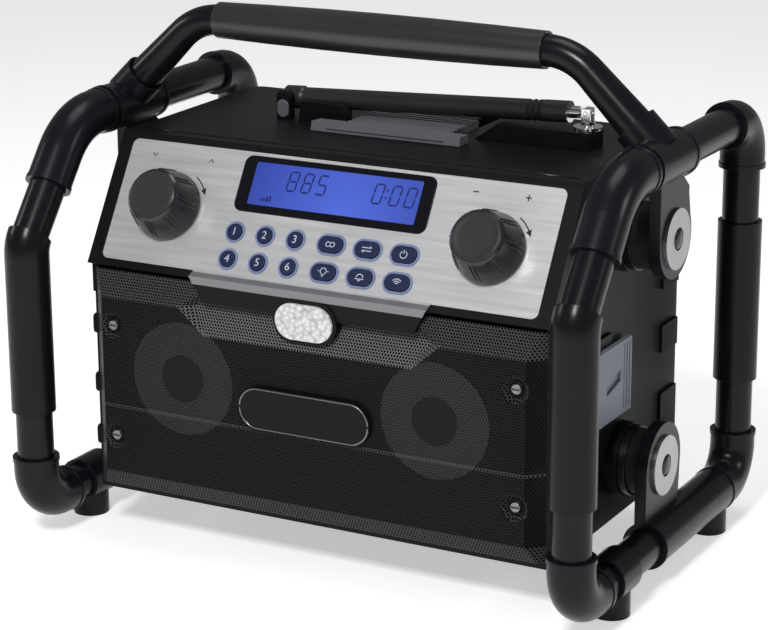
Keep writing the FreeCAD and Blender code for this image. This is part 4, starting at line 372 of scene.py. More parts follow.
ink_white = moulded("printed_white", (0.36, 0.40, 0.50), (0.46, 0.50, 0.60), 0.5, depth=0.005)
ring_steel = moulded("ring_steel", (0.03, 0.03, 0.032), (0.06, 0.06, 0.062), 0.34, metallic=1.0)
head_black = moulded("bolt_head_black", (0.004, 0.004, 0.005), (0.010, 0.010, 0.011), 0.22,
                     grain=400, depth=0.01, gloss=0.4)
print("plain finishes:", len(bpy.data.materials))


# %% [markdown]
# ## Brushed aluminium
# A belt grinds the plate from left to right, so its scratches are long in x and very
# fine across. Noise stretched that way drives the colour, the roughness and a bump. The
# chin below the panel faces down, and its darker grey is painted shade.

# %% Brushed plate
CHIN_TOP = 190.4


def brushed_plate():
    """Long scratches: noise 150 times finer across the brushing direction than along it."""
    material, shader = new_material("brushed_plate")
    place, (_, _, height) = object_axes(material)
    fine = noise(material, place, 90, stretch=(0.25, 38, 38), detail=5.0)
    broad = noise(material, place, 30, stretch=(0.5, 10, 10), detail=3.0)
    streaks = calculate(material, "MULTIPLY", fine, broad)
    colour = blend_colours(material, streaks, (0.43, 0.43, 0.44), (0.88, 0.88, 0.90))
    links = material.node_tree.links
    # Painted shade: the downward-facing chin below CHIN_TOP is given a darker grey.
    chin = calculate(material, "LESS_THAN", height, CHIN_TOP)
    colour = blend_colours(material, chin, colour, (0.20, 0.20, 0.21))
    links.new(colour, shader.inputs["Base Color"])
    rough = calculate(material, "MULTIPLY_ADD", fine, 0.22)
    rough.node.inputs[2].default_value = 0.26
    links.new(rough, shader.inputs["Roughness"])
    shader.inputs["Metallic"].default_value = 0.55
    add_bump(material, shader, fine, 0.03, 0.5)
    return material


plate_metal = brushed_plate()


# %% [markdown]
# ## Turned washers
# The four mount washers were faced on a lathe, which leaves rings round their centre.
# The distance from each washer's axis drives a wave, and the nearer axis wins.

# %% Turned metal
MOUNT_Y, MOUNT_HEIGHTS = 7.6, (71.8, 219.5)
RADIANS_PER_MM = 7.0


def turned_washer():
    """Rings round the two mount heights: a sine of the distance from each axis."""
    material, shader = new_material("turned_washer")
    place, (_, y, z) = object_axes(material)
    distances = [distance_from(material, y, z, MOUNT_Y, height) for height in MOUNT_HEIGHTS]
    nearest = calculate(material, "MINIMUM", *distances)
    wave = calculate(material, "SINE", calculate(material, "MULTIPLY", nearest, RADIANS_PER_MM))
    cloud = noise(material, place, 40)
    colour = blend_colours(material, cloud, (0.30, 0.30, 0.31), (0.42, 0.42, 0.43))
    material.node_tree.links.new(colour, shader.inputs["Base Color"])
    shader.inputs["Metallic"].default_value = 0.9
    shader.inputs["Roughness"].default_value = 0.3
    add_bump(material, shader, wave, 0.02, 0.5)
    return material


washer_metal = turned_washer()


# %% [markdown]
# ## The perforated grille
# Round holes in staggered rows, 2 mm apart, can be real geometry or a pattern. There are
# thirteen thousand of them, so a pattern is right here: two square grids, shifted by half
# a step, give the rows. Behind two round areas the pale speaker cones show in the holes.

# %% Perforation
HOLE_PITCH, HOLE_RADIUS, HOLE_EDGE = 2.05, 0.72, 0.16
BROW_Z, BAND_Z, LIP_Z, CREASE_Z = 166.0, 150.0, 49.0, 93.5
BAND_END_TOP, BAND_END_SLOPE = 93.0, 1.13
# The band, brow, crease, lip and pocket marks below place a painted highlight: paler metal where
# the folds catch the light.
CREASE_SHEEN_Z, CREASE_SHEEN_HALF = 94.2, 0.9
BAND_SHEEN, BROW_SHEEN, LIP_SHEEN = (150.3, 168.0), 166.2, 48.6
FAINT, LIP_FAINT, POCKET_FAINT = 0.42, 0.3, 0.3
SCREW_X, SCREW_HEIGHTS = 143.8, (73.0, 147.6)
POCKET_R, POCKET_WALL, POCKET_DEPTH = 8.6, 2.6, 4.0
SPEAKER_X, SPEAKER_Z, SPEAKER_R = 90.2, 119.8, 37.0
DUST_CAP_SHARE = 0.42


def to_grid_centre(material, value, step, shift):
    """Signed distance to the nearest line of a grid with this step."""
    share = calculate(material, "ADD", calculate(material, "DIVIDE", value, step), shift)
    part = calculate(material, "FRACT", share)
    return calculate(material, "MULTIPLY", calculate(material, "SUBTRACT", part, 0.5), step)


def hole_mask(material, x, z):
    """1 inside a hole, 0 on the sheet, with a soft edge HOLE_EDGE wide."""
    row = HOLE_PITCH * math.sqrt(3)
    nearest = None
    for shift in (0.0, 0.5):
        dx = to_grid_centre(material, x, HOLE_PITCH, shift)
        dz = to_grid_centre(material, z, row, shift)
        reach = length_of(material, dx, dz)
        nearest = reach if nearest is None else calculate(material, "MINIMUM", nearest, reach)
    inside = calculate(material, "SUBTRACT", HOLE_RADIUS + HOLE_EDGE / 2, nearest)
    return calculate(material, "DIVIDE", inside, HOLE_EDGE, clamp=True)


def painted_sheen_mask(material, side, z):
    """Painted highlight: 1 on the tilted band under the hood, less on the brow, crease, lip and
    pocket walls, whose folds catch the light.
    """
    above = calculate(material, "GREATER_THAN", z, BAND_SHEEN[0])
    end = calculate(material, "MULTIPLY_ADD", z, BAND_END_SLOPE)
    end.node.inputs[2].default_value = BAND_END_TOP - BAND_END_SLOPE * (BROW_Z + 1)
    within = calculate(material, "LESS_THAN", side, end)
    below = calculate(material, "LESS_THAN", z, BAND_SHEEN[1])
    band = calculate(material, "MULTIPLY", above, calculate(material, "MULTIPLY", within, below))
    off_crease = calculate(material, "ABSOLUTE", calculate(material, "SUBTRACT", z, CREASE_SHEEN_Z))
    crease = calculate(material, "LESS_THAN", off_crease, CREASE_SHEEN_HALF)
    brow = calculate(material, "GREATER_THAN", z, BROW_SHEEN)
    low = calculate(material, "LESS_THAN", z, LIP_SHEEN)
    lip = calculate(material, "MULTIPLY", low, LIP_FAINT)
    faint = calculate(material, "MULTIPLY", calculate(material, "MAXIMUM", crease, brow), FAINT)
    for height in SCREW_HEIGHTS:
        reach = distance_from(material, side, z, SCREW_X, height)
        off_wall = calculate(material, "ABSOLUTE",
                             calculate(material, "SUBTRACT", reach, POCKET_R - POCKET_WALL / 2))
        wall = calculate(material, "LESS_THAN", off_wall, POCKET_WALL / 2)
        rim = calculate(material, "MULTIPLY", wall, POCKET_FAINT)
        faint = calculate(material, "MAXIMUM", faint, rim)
    return calculate(material, "MAXIMUM", band, calculate(material, "MAXIMUM", faint, lip))


def perforated_sheet():
    """Holes painted near-black as the shade inside the casing, greyer where a speaker's cone lies
    behind, in a satin sheet with a painted highlight on its band and folds.
    """
    material, shader = new_material("perforated_sheet")
    place, (x, _, z) = object_axes(material)
    holes = hole_mask(material, x, z)
    side = calculate(material, "ABSOLUTE", x)
    reach = distance_from(material, side, z, SPEAKER_X, SPEAKER_Z)
    behind = calculate(material, "LESS_THAN", reach, SPEAKER_R)
    centre = calculate(material, "LESS_THAN", reach, SPEAKER_R * DUST_CAP_SHARE)
    pale = calculate(material, "MULTIPLY", behind,
                     calculate(material, "SUBTRACT", 1.0, centre))
    cloud = noise(material, place, 30)
    metal = blend_colours(material, cloud, (0.004, 0.004, 0.005), (0.007, 0.007, 0.008))
    # Painted highlight: the band and fold lines get a paler metal for the light they catch.
    band = painted_sheen_mask(material, side, z)
    metal = blend_colours(material, band, metal, (0.125, 0.122, 0.120))
    # Painted shade: away from the speakers the holes are near-black, standing for the shaded inside
    # of the casing behind the sheet.
    cone = blend_colours(material, centre, (0.0004, 0.0004, 0.0005), (0.008, 0.008, 0.009))
    depth = blend_colours(material, pale, cone, (0.034, 0.035, 0.037))
    colour = blend_colours(material, holes, metal, depth)
    links = material.node_tree.links
    links.new(colour, shader.inputs["Base Color"])
    rough = calculate(material, "MULTIPLY_ADD", holes, 0.55)
    rough.node.inputs[2].default_value = 0.34
    links.new(rough, shader.inputs["Roughness"])
    shader.inputs["Specular IOR Level"].default_value = 0.14
    add_bump(material, shader, calculate(material, "SUBTRACT", 1.0, holes), 0.25, 0.8)
    return material


grille_metal = perforated_sheet()


# %% [markdown]
# ## Window, lens and glow
# The display window is black glass with a lit blue field behind it. The lamp's lens is
# clear plastic with small prisms that scatter the light of its diodes.

# %% Glass and light
GLOW_CENTRE, GLOW_REACH = (10.0, 228.0), 75.0
HINGE_X = 112.9


def black_glass():
    """A deep black gloss."""
    material, shader = new_material("black_glass")
    place, _ = object_axes(material)
    colour = blend_colours(material, noise(material, place, 12), (0.004, 0.004, 0.006),
                           (0.007, 0.007, 0.010))
    material.node_tree.links.new(colour, shader.inputs["Base Color"])
    shader.inputs["Roughness"].default_value = 0.12
    shader.inputs["Specular IOR Level"].default_value = 0.12
    return material


def lit_display():
    """Blue light, a little paler towards the lower middle, where its lamp sits."""
    material, shader = new_material("lit_display")
    place, (x, _, z) = object_axes(material)
    reach = distance_from(material, x, z, *GLOW_CENTRE)
    links = material.node_tree.links
    share = calculate(material, "MULTIPLY_ADD", noise(material, place, 18), 0.12)
    spread = calculate(material, "DIVIDE", reach, GLOW_REACH, clamp=True)
    links.new(spread, share.node.inputs[2])
    colour = blend_colours(material, share, (0.045, 0.085, 0.42), (0.016, 0.032, 0.22))
    links.new(colour, shader.inputs["Emission Color"])
    links.new(colour, shader.inputs["Base Color"])
    shader.inputs["Emission Strength"].default_value = 0.54
    shader.inputs["Roughness"].default_value = 0.3
    shader.inputs["Coat Weight"].default_value = 0.4
    return material


def prism_lens():
    """Milky clear plastic: small cells in the bump and the colour."""
    material, shader = new_material("prism_lens")
    place, _ = object_axes(material)
    nodes, links = material.node_tree.nodes, material.node_tree.links
    cells = nodes.new("ShaderNodeTexVoronoi")
    cells.inputs["Scale"].default_value = 330
    links.new(place, cells.inputs["Vector"])
    colour = blend_colours(material, cells.outputs["Distance"], (0.95, 0.95, 0.95),
                           (0.30, 0.31, 0.33))
    links.new(colour, shader.inputs["Base Color"])
    shader.inputs["Roughness"].default_value = 0.1
    shader.inputs["Transmission Weight"].default_value = 0.25
    shader.inputs["IOR"].default_value = 1.49
    shader.inputs["Emission Color"].default_value = (0.9, 0.92, 0.95, 1.0)
    shader.inputs["Emission Strength"].default_value = 0.08
    add_bump(material, shader, cells.outputs["Distance"], 0.9, 0.9)
    return material


def glowing_rubber():
    """Translucent rings round the keys, lit from behind."""
    material, shader = new_material("key_ring_rubber")
    place, _ = object_axes(material)
    colour = blend_colours(material, noise(material, place, 60), (0.11, 0.15, 0.28),
                           (0.16, 0.21, 0.36))
    links = material.node_tree.links
    links.new(colour, shader.inputs["Base Color"])
    links.new(colour, shader.inputs["Emission Color"])
    shader.inputs["Emission Strength"].default_value = 0.10
    shader.inputs["Roughness"].default_value = 0.45
    return material


def aerial_finish():
    """Rubber on the rod, chrome on its hinge, which starts at HINGE_X."""
    material, shader = new_material("aerial_rubber_and_chrome")
    place, (x, _, _) = object_axes(material)
    bright = calculate(material, "GREATER_THAN", x, HINGE_X)
    rubber = blend_colours(material, noise(material, place, 25), (0.012, 0.012, 0.013),
                           (0.020, 0.020, 0.022))
    colour = blend_colours(material, bright, rubber, (0.78, 0.78, 0.80))
    links = material.node_tree.links
    links.new(colour, shader.inputs["Base Color"])
    links.new(bright, shader.inputs["Metallic"])
    rough = calculate(material, "MULTIPLY_ADD", bright, -0.33)
    rough.node.inputs[2].default_value = 0.44
    links.new(rough, shader.inputs["Roughness"])
    add_bump(material, shader, noise(material, place, 1300), 0.02)
    return material


window_glass = black_glass()
display_light = lit_display()
lens_plastic = prism_lens()
ring_rubber = glowing_rubber()
aerial_skin = aerial_finish()
segment_blue = moulded("display_segment", (0.008, 0.015, 0.10), (0.012, 0.02, 0.14), 0.4)

# %% [markdown]
# ## Dressing the CAD solids
# A solid whose shape is right keeps it and only changes its material. A table pairs each
# finish with its solids.

# %% Dress the solids
DRESS = {
    pipe_coat: ["front_pipes", "rear_pipes", "top_pipes", "bottom_pipes", "handle_bar"],
    fitting_skin: ["upper_front_elbows", "upper_rear_elbows", "lower_elbows", "foot_tees",
                   "handle_tee_left", "handle_tee_right", "lower_bracket_left",
                   "lower_bracket_right"],
    sleeve_skin: ["front_sleeves", "rear_sleeves"],
    grip_skin: ["handle_grip"],
    casing_skin: ["front_casing", "rear_casing", "rear_door", "side_hatch", "battery_tray",
                  "badge_plate", "damper_seats", "side_pads", "aerial_rest"],
    damper_rubber: ["mount_dampers"],
    washer_metal: ["mount_washers"],
    ring_steel: ["mount_rings"],
    steel: ["door_pin", "tune_shaft", "volume_shaft", "encoders"],
    dark_steel: ["grille_screws", "mount_bolts"],
    plate_metal: ["control_plate"],
    window_glass: ["display_window", "display_module"],
    ring_rubber: ["key_mat"],
    key_cap: ["key_one", "key_two", "key_three", "key_four", "key_five", "key_six",
              "key_link", "key_source", "key_power", "key_lamp", "key_alarm", "key_band"],
    knob_plastic: ["tune_knob", "volume_knob"],
    grille_metal: ["speaker_grille"],
    speaker_paper: ["speaker_left", "speaker_right"],
    board_green: ["control_board", "lamp_board", "amplifier_board"],
    lens_plastic: ["lamp_lens"],
    latch_plastic: ["door_latch"],
    catch_plastic: ["side_latch"],
    chrome: ["aerial_base"],
    aerial_skin: ["aerial_rod"],
}
for material, names in DRESS.items():
    for name in names:
        solid = bpy.data.objects[name]
        solid.data.materials.clear()
        solid.data.materials.append(material)
dressed = {name for names in DRESS.values() for name in names}
print("solids without a finish:", sorted(set(frame["nodes"]) - dressed))

# %% [markdown]
# ## The folded grille
# The real grille is one perforated sheet, pressed in a die: flat in the middle, set back
# under the hood in a tilted band with slanted ends, and folded at its edges. Its depth is
# the largest or smallest of a few planes, so the folds meet on clean lines by themselves.

# %% Grille sheet
GRILLE_Y = -109.0
GRILLE_HALF, FOLD_X = 160.4, 150.8
GRILLE_LOW, GRILLE_TOP = 37.0, 183.4
BROW_BACK, LIP_BACK = 6.6, 6.6
BAND_RISE, BAND_BACK, BAND_DEEPEST = 16.0, 7.0, 7.6
BAND_END_LEAN = 0.9
RIDGE_HALF, RIDGE_OUT, RIDGE_FADE = 1.8, 0.7, 4
SHEET_STEP, SHEET_THICK = 1.1, 1.2


def band_end(z):
    """Half the width of the band: widest at the brow, narrower below and behind the hood."""
    return BAND_END_TOP - BAND_END_SLOPE * np.abs(BROW_Z + 1 - z)


def grille_depth(x, z):
    """How far the sheet lies behind its face: the largest of its planes and pockets."""
    side = np.abs(x)
    brow = (z - BROW_Z) * BROW_BACK / (GRILLE_TOP - BROW_Z)
    fold = side - FOLD_X
    lip = (LIP_Z - z) * LIP_BACK / (LIP_Z - GRILLE_LOW)
    band = np.minimum((z - BAND_Z) * BAND_BACK / BAND_RISE, (band_end(z) - side) * BAND_END_LEAN)
    band = np.minimum(band, BAND_DEEPEST)
    depth = np.maximum.reduce([np.zeros_like(side), brow, fold, lip, band])
    ridge = (np.clip(1 - np.abs(z - CREASE_Z) / RIDGE_HALF, 0, 1)
             * np.clip((FOLD_X - side) / RIDGE_FADE, 0, 1))
    for height in SCREW_HEIGHTS:
        reach = np.hypot(side - SCREW_X, z - height)
        pocket = POCKET_DEPTH * np.clip((POCKET_R - reach) / POCKET_WALL, 0, 1)
        depth = np.maximum(depth, pocket)
    return depth - RIDGE_OUT * ridge


def grid_lines(first, last, step, extra):
    """Even grid lines with a few added where folds lie."""
    lines = np.arange(first, last + step / 2, step)
    lines = np.concatenate([lines[np.abs(lines[:, None] - np.array(extra)).min(1) > step * 0.3],
                            extra])
    return np.sort(lines)


def grille_sheet():
    """A grid over the front: its depth from the planes, its thickness from Solidify."""
    xs = grid_lines(-GRILLE_HALF, GRILLE_HALF, SHEET_STEP,
                    [-GRILLE_HALF, -FOLD_X, FOLD_X, GRILLE_HALF])
    zs = grid_lines(GRILLE_LOW, GRILLE_TOP, SHEET_STEP,
                    [GRILLE_LOW, LIP_Z, BAND_Z, BROW_Z, GRILLE_TOP])
    x, z = np.meshgrid(xs, zs)
    points = np.stack([x, GRILLE_Y + grille_depth(x, z), z], -1)
    sheet = put_in_scene("grille_sheet", points.reshape(-1, 3), grid_faces(len(zs), len(xs)),
                         RADIO, grille_metal, smooth=False)
    solid = sheet.modifiers.new("thickness", "SOLIDIFY")
    solid.thickness = SHEET_THICK * MM
    solid.offset = -1
    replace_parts(sheet, "speaker_grille")
    return sheet


grille = grille_sheet()
print("grille sheet:", len(grille.data.vertices), "points")

# %% [markdown]
# ## The display window
# The window is a black glass plate with rounded corners, half a millimetre proud of the
# metal. Its rim is an outline carried up and slightly in, which rounds its edge. The
# opening's own corners are square, so four small pieces of metal fill them.

# %% Window plate
WINDOW_HALF, WINDOW_LOW, WINDOW_HIGH = 68.3, 42.4, 79.5
WINDOW_R, CORNER_FILL = 5.6, 0.6
CORNER_LOW_W, CORNER_TOP_W = -0.9, 0.03


def window_plate():
    """Rings of the rounded outline: down at the base, then up and in to the top face."""
    rings = []
    for inset, w in ((0.0, -1.0), (0.0, 0.2), (0.15, 0.42), (0.5, 0.5)):
        outline = rounded_rectangle(inset - WINDOW_HALF, WINDOW_LOW + inset, WINDOW_HALF - inset,
                                    WINDOW_HIGH - inset, WINDOW_R - inset)
        rings.append(on_panel(outline[:, 0], outline[:, 1], w))
    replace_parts(capped_rings("window_plate", rings, window_glass), "display_window")


def corner_fill(side, up):
    """Metal between the window's round corner and the square corner of its opening."""
    middle_v = (WINDOW_LOW + WINDOW_HIGH) / 2
    half_v = (WINDOW_HIGH - WINDOW_LOW) / 2
    bend = arc((WINDOW_HALF - WINDOW_R, half_v - WINDOW_R), WINDOW_R + 0.1, 0, 90, 10)
    corner = [[WINDOW_HALF + CORNER_FILL, half_v + CORNER_FILL]]
    lower = [[WINDOW_HALF + CORNER_FILL, half_v - WINDOW_R]]
    upper = [[WINDOW_HALF - WINDOW_R, half_v + CORNER_FILL]]
    outline = np.concatenate([corner, upper, bend[::-1], lower])
    u, v = side * outline[:, 0], middle_v + up * outline[:, 1]
    name = "window_corner_%s%s" % ("left" if side < 0 else "right", "_low" if up < 0 else "_high")
    capped_rings(name, [on_panel(u, v, w) for w in (CORNER_LOW_W, CORNER_TOP_W)], plate_metal)


window_plate()
for side in (-1, 1):
    for up in (-1, 1):
        corner_fill(side, up)

# %% [markdown]
# ## The lit display
# A blue field lies just over the black glass, with rounded corners. Its digits are seven
# slanted bars, as on any clock display, and the level marks at the left are plain bars.

# %% Display field
FIELD_W, SEGMENT_W = 0.56, 0.62
SEGMENT_WIDTH, SEGMENT_SHARE = 1.15, 0.84
CLOCK_V, STATION_V = 58.0, 59.0

filled("display_field", rounded_rectangle(-59.0, 47.4, 59.5, 75.6, 1.2), FIELD_W, RADIO,
       display_light)

SEGMENTS = {
    "0": "abcdef", "1": "bc", "2": "abged", "3": "abgcd", "4": "fgbc", "5": "afgcd",
    "6": "afgedc", "7": "abc", "8": "abcdefg", "9": "abcdfg",
}


def segment_line(letter, width, height):
    """Two ends of one of the seven bars of a digit."""
    half = height / 2
    return {"a": ((0, height), (width, height)), "b": ((width, half), (width, height)),
            "c": ((width, 0), (width, half)), "d": ((0, 0), (width, 0)),
            "e": ((0, 0), (0, half)), "f": ((0, half), (0, height)),
            "g": ((0, half), (width, half))}[letter]


def display_digit(name, digit, u, v, width=6.0, height=12.5, slant=0.10):
    """A digit from bars that stop short of each other and lean to the right."""
    for letter in SEGMENTS[digit]:
        ends = np.array(segment_line(letter, width, height), float)
        middle = ends.mean(0)
        ends = middle + (ends - middle) * SEGMENT_SHARE
        line = np.stack([u + ends[:, 0] + slant * ends[:, 1], v + ends[:, 1]], 1)
        ribbon("%s_%s" % (name, letter), line, SEGMENT_WIDTH, SEGMENT_W, RADIO, segment_blue)


for number, (digit, u) in enumerate((("0", 27.0), ("0", 39.0), ("0", 49.5))):
    display_digit("clock_digit_%d" % number, digit, u, CLOCK_V)
for number, (digit, u) in enumerate((("8", -34.0), ("8", -23.5), ("5", -13.0))):
    display_digit("station_digit_%d" % number, digit, u, STATION_V)
for number, v in enumerate((61.5, 66.5)):
    filled("clock_colon_%d" % number, rounded_rectangle(35.6, v, 37.0, v + 1.4, 0.3), SEGMENT_W,
           RADIO, segment_blue)
for number in range(4):
    filled("level_bar_%d" % number,
           rounded_rectangle(-50.5 + number * 2.1, 50.2, -49.1 + number * 2.1,
                             52.0 + number * 0.8, 0.2), SEGMENT_W, RADIO, segment_blue)

# %% [markdown]
# ## Legends on the keys
# The six round keys carry plain numbers, and the wide ones carry small signs: a link, an
# arrow pair, the power sign, a lamp, a bell and a wave. Each sign is one or two strokes.

# %% Key numbers
FIRST_U, DIGIT_STEP, WIDE_U, WIDE_STEP = -62.0, 21.9, 7.3, 25.6
LOW_V, ROW_STEP = 10.2, 18.0
CAP_TOP, NUMBER_SIZE = 1.46, 7.2


def number_mark(name, text, u, v, body):
    """A number as a flat mesh on a key's cap, centred at u, v on the panel."""
    curve = bpy.data.curves.new(name, "FONT")
    curve.body = text
    curve.size = NUMBER_SIZE
    curve.align_x = "CENTER"
    curve.align_y = "CENTER"
    helper = bpy.data.objects.new(name + "_helper", curve)
    bpy.context.scene.collection.objects.link(helper)
    bpy.context.view_layer.update()
    flat = bpy.data.meshes.new_from_object(helper)
    count = len(flat.vertices)
    points = np.empty(count * 3)
    flat.vertices.foreach_get("co", points)
    points = points.reshape(-1, 3)
    faces = [list(polygon.vertices) for polygon in flat.polygons]
    bpy.data.objects.remove(helper)
    placed = on_panel(u + points[:, 0], v + points[:, 1], CAP_TOP)
    return put_in_scene(name, placed, faces, body, ink_white, smooth=False)


digit_keys = ("key_one", "key_two", "key_three", "key_four", "key_five", "key_six")
for number, key in enumerate(digit_keys):
    u = FIRST_U + DIGIT_STEP * (number % 3)
    v = LOW_V + ROW_STEP * (1 - number // 3)
    number_mark(key + "_number", str(number + 1), u, v, key)


# %% Key signs
def wide_place(number):
    """Middle of one of the six wide keys."""
    return WIDE_U + WIDE_STEP * (number % 3), LOW_V + ROW_STEP * (1 - number // 3)


def sign(key, number, lines, width=0.55):
    """Strokes round the middle of a wide key."""
    u, v = wide_place(number)
    for index, line in enumerate(lines):
        line = np.asarray(line, float) + (u, v)
        ribbon("%s_sign_%d" % (key, index), line, width, CAP_TOP, key, ink_white)


sign("key_link", 0, [arc((-1.5, 0), 1.5, 0, 360), arc((1.5, 0), 1.5, 0, 360)])
sign("key_source", 1, [[(-3.4, 1.0), (3.0, 1.0)], [(1.8, 2.2), (3.2, 1.0)],
                       [(3.4, -1.0), (-3.0, -1.0)], [(-1.8, -2.2), (-3.2, -1.0)]])
sign("key_power", 2, [arc((0, -0.2), 2.3, 120, 420), [(0, 0.4), (0, 2.9)]])
sign("key_lamp", 3, [arc((0, 0.6), 2.0, -60, 240), [(-0.9, -1.6), (0.9, -1.6)],
                     [(-0.7, -2.5), (0.7, -2.5)], [(-3.8, 0.6), (-2.8, 0.6)],
                     [(2.8, 0.6), (3.8, 0.6)]])
sign("key_alarm", 4, [arc((0, -0.4), 2.3, 0, 180), [(-3.0, -1.2), (3.0, -1.2)],
                      arc((0, -1.6), 0.8, 180, 360)])
sign("key_band", 5, [arc((0, -1.6), 1.2, 40, 140), arc((0, -1.6), 2.5, 40, 140),
                     arc((0, -1.6), 3.8, 40, 140)])

# %% [markdown]
# ## Marks round the knobs
# A curved arrow at the upper right of each knob tells that it turns. Plus and minus
# flank the volume knob's top, and a pair of chevrons the tuning knob's.

# %% Knob marks
KNOB_U, KNOB_V = 114.2, 39.0
PRINT_W, ARROW_R = 0.05, 25.6
SIGN_V, SIGN_STROKE, CHEVRON_STROKE = 73.5, 0.8, 0.7


def printed(name, line, width):
    """A black stroke printed on the plate."""
    ribbon(name, line, width, PRINT_W, RADIO, ink_black)


def turn_arrow(name, u):
    """An arc round the knob that ends in a solid head."""
    printed(name + "_line", arc((u, KNOB_V), ARROW_R, 58, 34), SIGN_STROKE)
    tip = arc((u, KNOB_V), ARROW_R, 34, 24, 2)
    wings = [arc((u, KNOB_V), ARROW_R + out, 34, 34, 1)[0] for out in (2, -2)]
    filled(name + "_head", [wings[0], wings[1], tip[-1]], PRINT_W, RADIO, ink_black)


turn_arrow("tune_arrow", -KNOB_U)
turn_arrow("volume_arrow", KNOB_U)
printed("volume_minus", [(KNOB_U - 21, SIGN_V), (KNOB_U - 17.2, SIGN_V)], SIGN_STROKE)
printed("volume_plus_level", [(KNOB_U + 14, SIGN_V), (KNOB_U + 18, SIGN_V)], SIGN_STROKE)
printed("volume_plus_upright", [(KNOB_U + 16, SIGN_V - 2), (KNOB_U + 16, SIGN_V + 2)], SIGN_STROKE)
printed("tune_down_mark", [(-KNOB_U - 23, 73.6), (-KNOB_U - 21.3, 71.2), (-KNOB_U - 19.6, 73.6)],
        CHEVRON_STROKE)
printed("tune_up_mark", [(-KNOB_U + 19.6, 71.2), (-KNOB_U + 21.3, 73.6), (-KNOB_U + 23, 71.2)],
        CHEVRON_STROKE)


# %% [markdown]
# ## Knob ribs
# Pairs of small ribs run up each knob's cone for a gloved hand, and a disc a shade paler
# closes its face. A rib is a short tube laid along the cone, half sunk in it.

# %% Knob ribs and faces
KNOB_LOW_R, KNOB_HIGH_R = 22.3, 17.7
KNOB_SKIRT, KNOB_TOP = 6.4, 22.6
RIB_PAIRS, RIB_SPREAD = 8, 3.6


def knob_frame(u, radius, angle, w):
    """A point on a knob by its radius, its angle and its height over the panel."""
    return on_panel(u + radius * np.cos(angle), KNOB_V + radius * np.sin(angle), w)


def rib_shells(u):
    """All ribs of a knob: each a short tube up the cone, at its own angle."""
    climb = np.linspace(0, 1, 6)
    radius = KNOB_LOW_R + (KNOB_HIGH_R - KNOB_LOW_R) * climb + 0.15
    height = KNOB_SKIRT + (KNOB_TOP - KNOB_SKIRT) * climb
    width = np.array([0.3, 0.5, 0.55, 0.55, 0.5, 0.3])
    shells = []
    for pair in range(RIB_PAIRS):
        for side in (-1, 1):
            angle = math.radians(pair * 360 / RIB_PAIRS + side * RIB_SPREAD)
            shells.append(capped_tube(knob_frame(u, radius, angle, height), width, 8))
    return shells


def knob_face_points(u):
    """A shallow dish: rings of growing radius that rise to the rim and drop inside it."""
    angle = np.linspace(0, 2 * np.pi, 72, endpoint=False)
    radii = np.array([0.001, 5.0, 10.0, 13.6, 14.3, 15.4, 15.7])
    heights = np.array([24.28, 24.28, 24.28, 24.28, 24.45, 24.4, 24.1])
    return knob_frame(u, radii[:, None], angle[None, :], heights[:, None])


def knob_details(name, u, body):
    """Ribs in pairs along the cone, and the paler face."""
    shells_piece(name + "_ribs", rib_shells(u), body, knob_plastic)
    points = knob_face_points(u)
    face = put_in_scene(name + "_face", points.reshape(-1, 3),
                        grid_faces(*points.shape[:2], wrap_columns=True), body, knob_face)
    close_up(face)


knob_details("tune_knob", -KNOB_U, "tune_dial")
knob_details("volume_knob", KNOB_U, "volume_dial")

# %% [markdown]
# ## Pads on the casing's front edges
# Three small pads stand on each side of the casing, just behind the grille. Each is a
# squashed ball with flattened sides: a superellipsoid, whose exponent makes it boxier.

# %% Edge pads
PAD_Y, PAD_HEIGHTS, PAD_SIZE = -93.0, (144.0, 104.0, 68.0), (3.2, 6.6, 6.8)
CASING_HALF = 162.0


def superellipsoid(centre, size, power=0.35, rows=14, columns=24):
    """Each axis: size times the sign-kept power of a sine or cosine of two angles."""
    def keep(value):
        return np.sign(value) * np.abs(value) ** power
    rise = np.linspace(-np.pi / 2, np.pi / 2, rows)[:, None]
    turn = np.linspace(-np.pi, np.pi, columns, endpoint=False)[None, :]
    x = size[0] * keep(np.cos(rise)) * keep(np.cos(turn))
    y = size[1] * keep(np.cos(rise)) * keep(np.sin(turn))
    z = size[2] * keep(np.sin(rise)) * np.ones_like(turn)
    return np.stack([x, y, z], -1) + np.asarray(centre, float)


pad_shells = [superellipsoid((side * CASING_HALF, PAD_Y, z), PAD_SIZE)
              for side in (-1, 1) for z in PAD_HEIGHTS]
shells_piece("casing_edge_pads", pad_shells, RADIO, casing_skin)

# %% [markdown]
# ## Badge rim
# The badge is a dark pill inside a thin steel rim. The rim is a tube carried round the
# pill's outline. The pill itself stays bare.

# %% Badge rim
BADGE_Z, BADGE_HALF, BADGE_R = 109.6, 47.0, 14.0
RIM_INSET, RIM_Y, RIM_R = 1.0, -112.3, 0.55


def pill_outline(half, radius, y, z, count=24):
    """Points round a pill in the front view: two half circles and two straight runs."""
    straight = half - radius
    right = arc((straight, z), radius, -90, 90, count)
    left = arc((-straight, z), radius, 90, 270, count)
    outline = np.concatenate([right, left])
    return np.stack([outline[:, 0], np.full(len(outline), y), outline[:, 1]], 1)


rim_path = pill_outline(BADGE_HALF - RIM_INSET, BADGE_R - RIM_INSET, RIM_Y, BADGE_Z)
shells_piece("badge_rim", [tube_along(rim_path, RIM_R, 10, closed=True)], RADIO, dark_steel,
             closed=True)

# %% [markdown]
# ## Deck details
# A fine lip runs along the deck behind the panel, and the post that clips the aerial has a
# paler half-round plate on its front.

# %% Deck details
DECK_Z = 264.5
EDGE_HALF, EDGE_Y, EDGE_R = 155.0, -47.0, 0.7
CLIP_X, CLIP_Y, CLIP_HALF, CLIP_TALL = -88.5, 19.0, 4.4, 13.0

edge_path = np.array([[x, EDGE_Y, DECK_Z] for x in np.linspace(-EDGE_HALF, EDGE_HALF, 12)])
shells_piece("deck_lip", [capped_tube(edge_path, EDGE_R, 12)], RADIO, head_black)


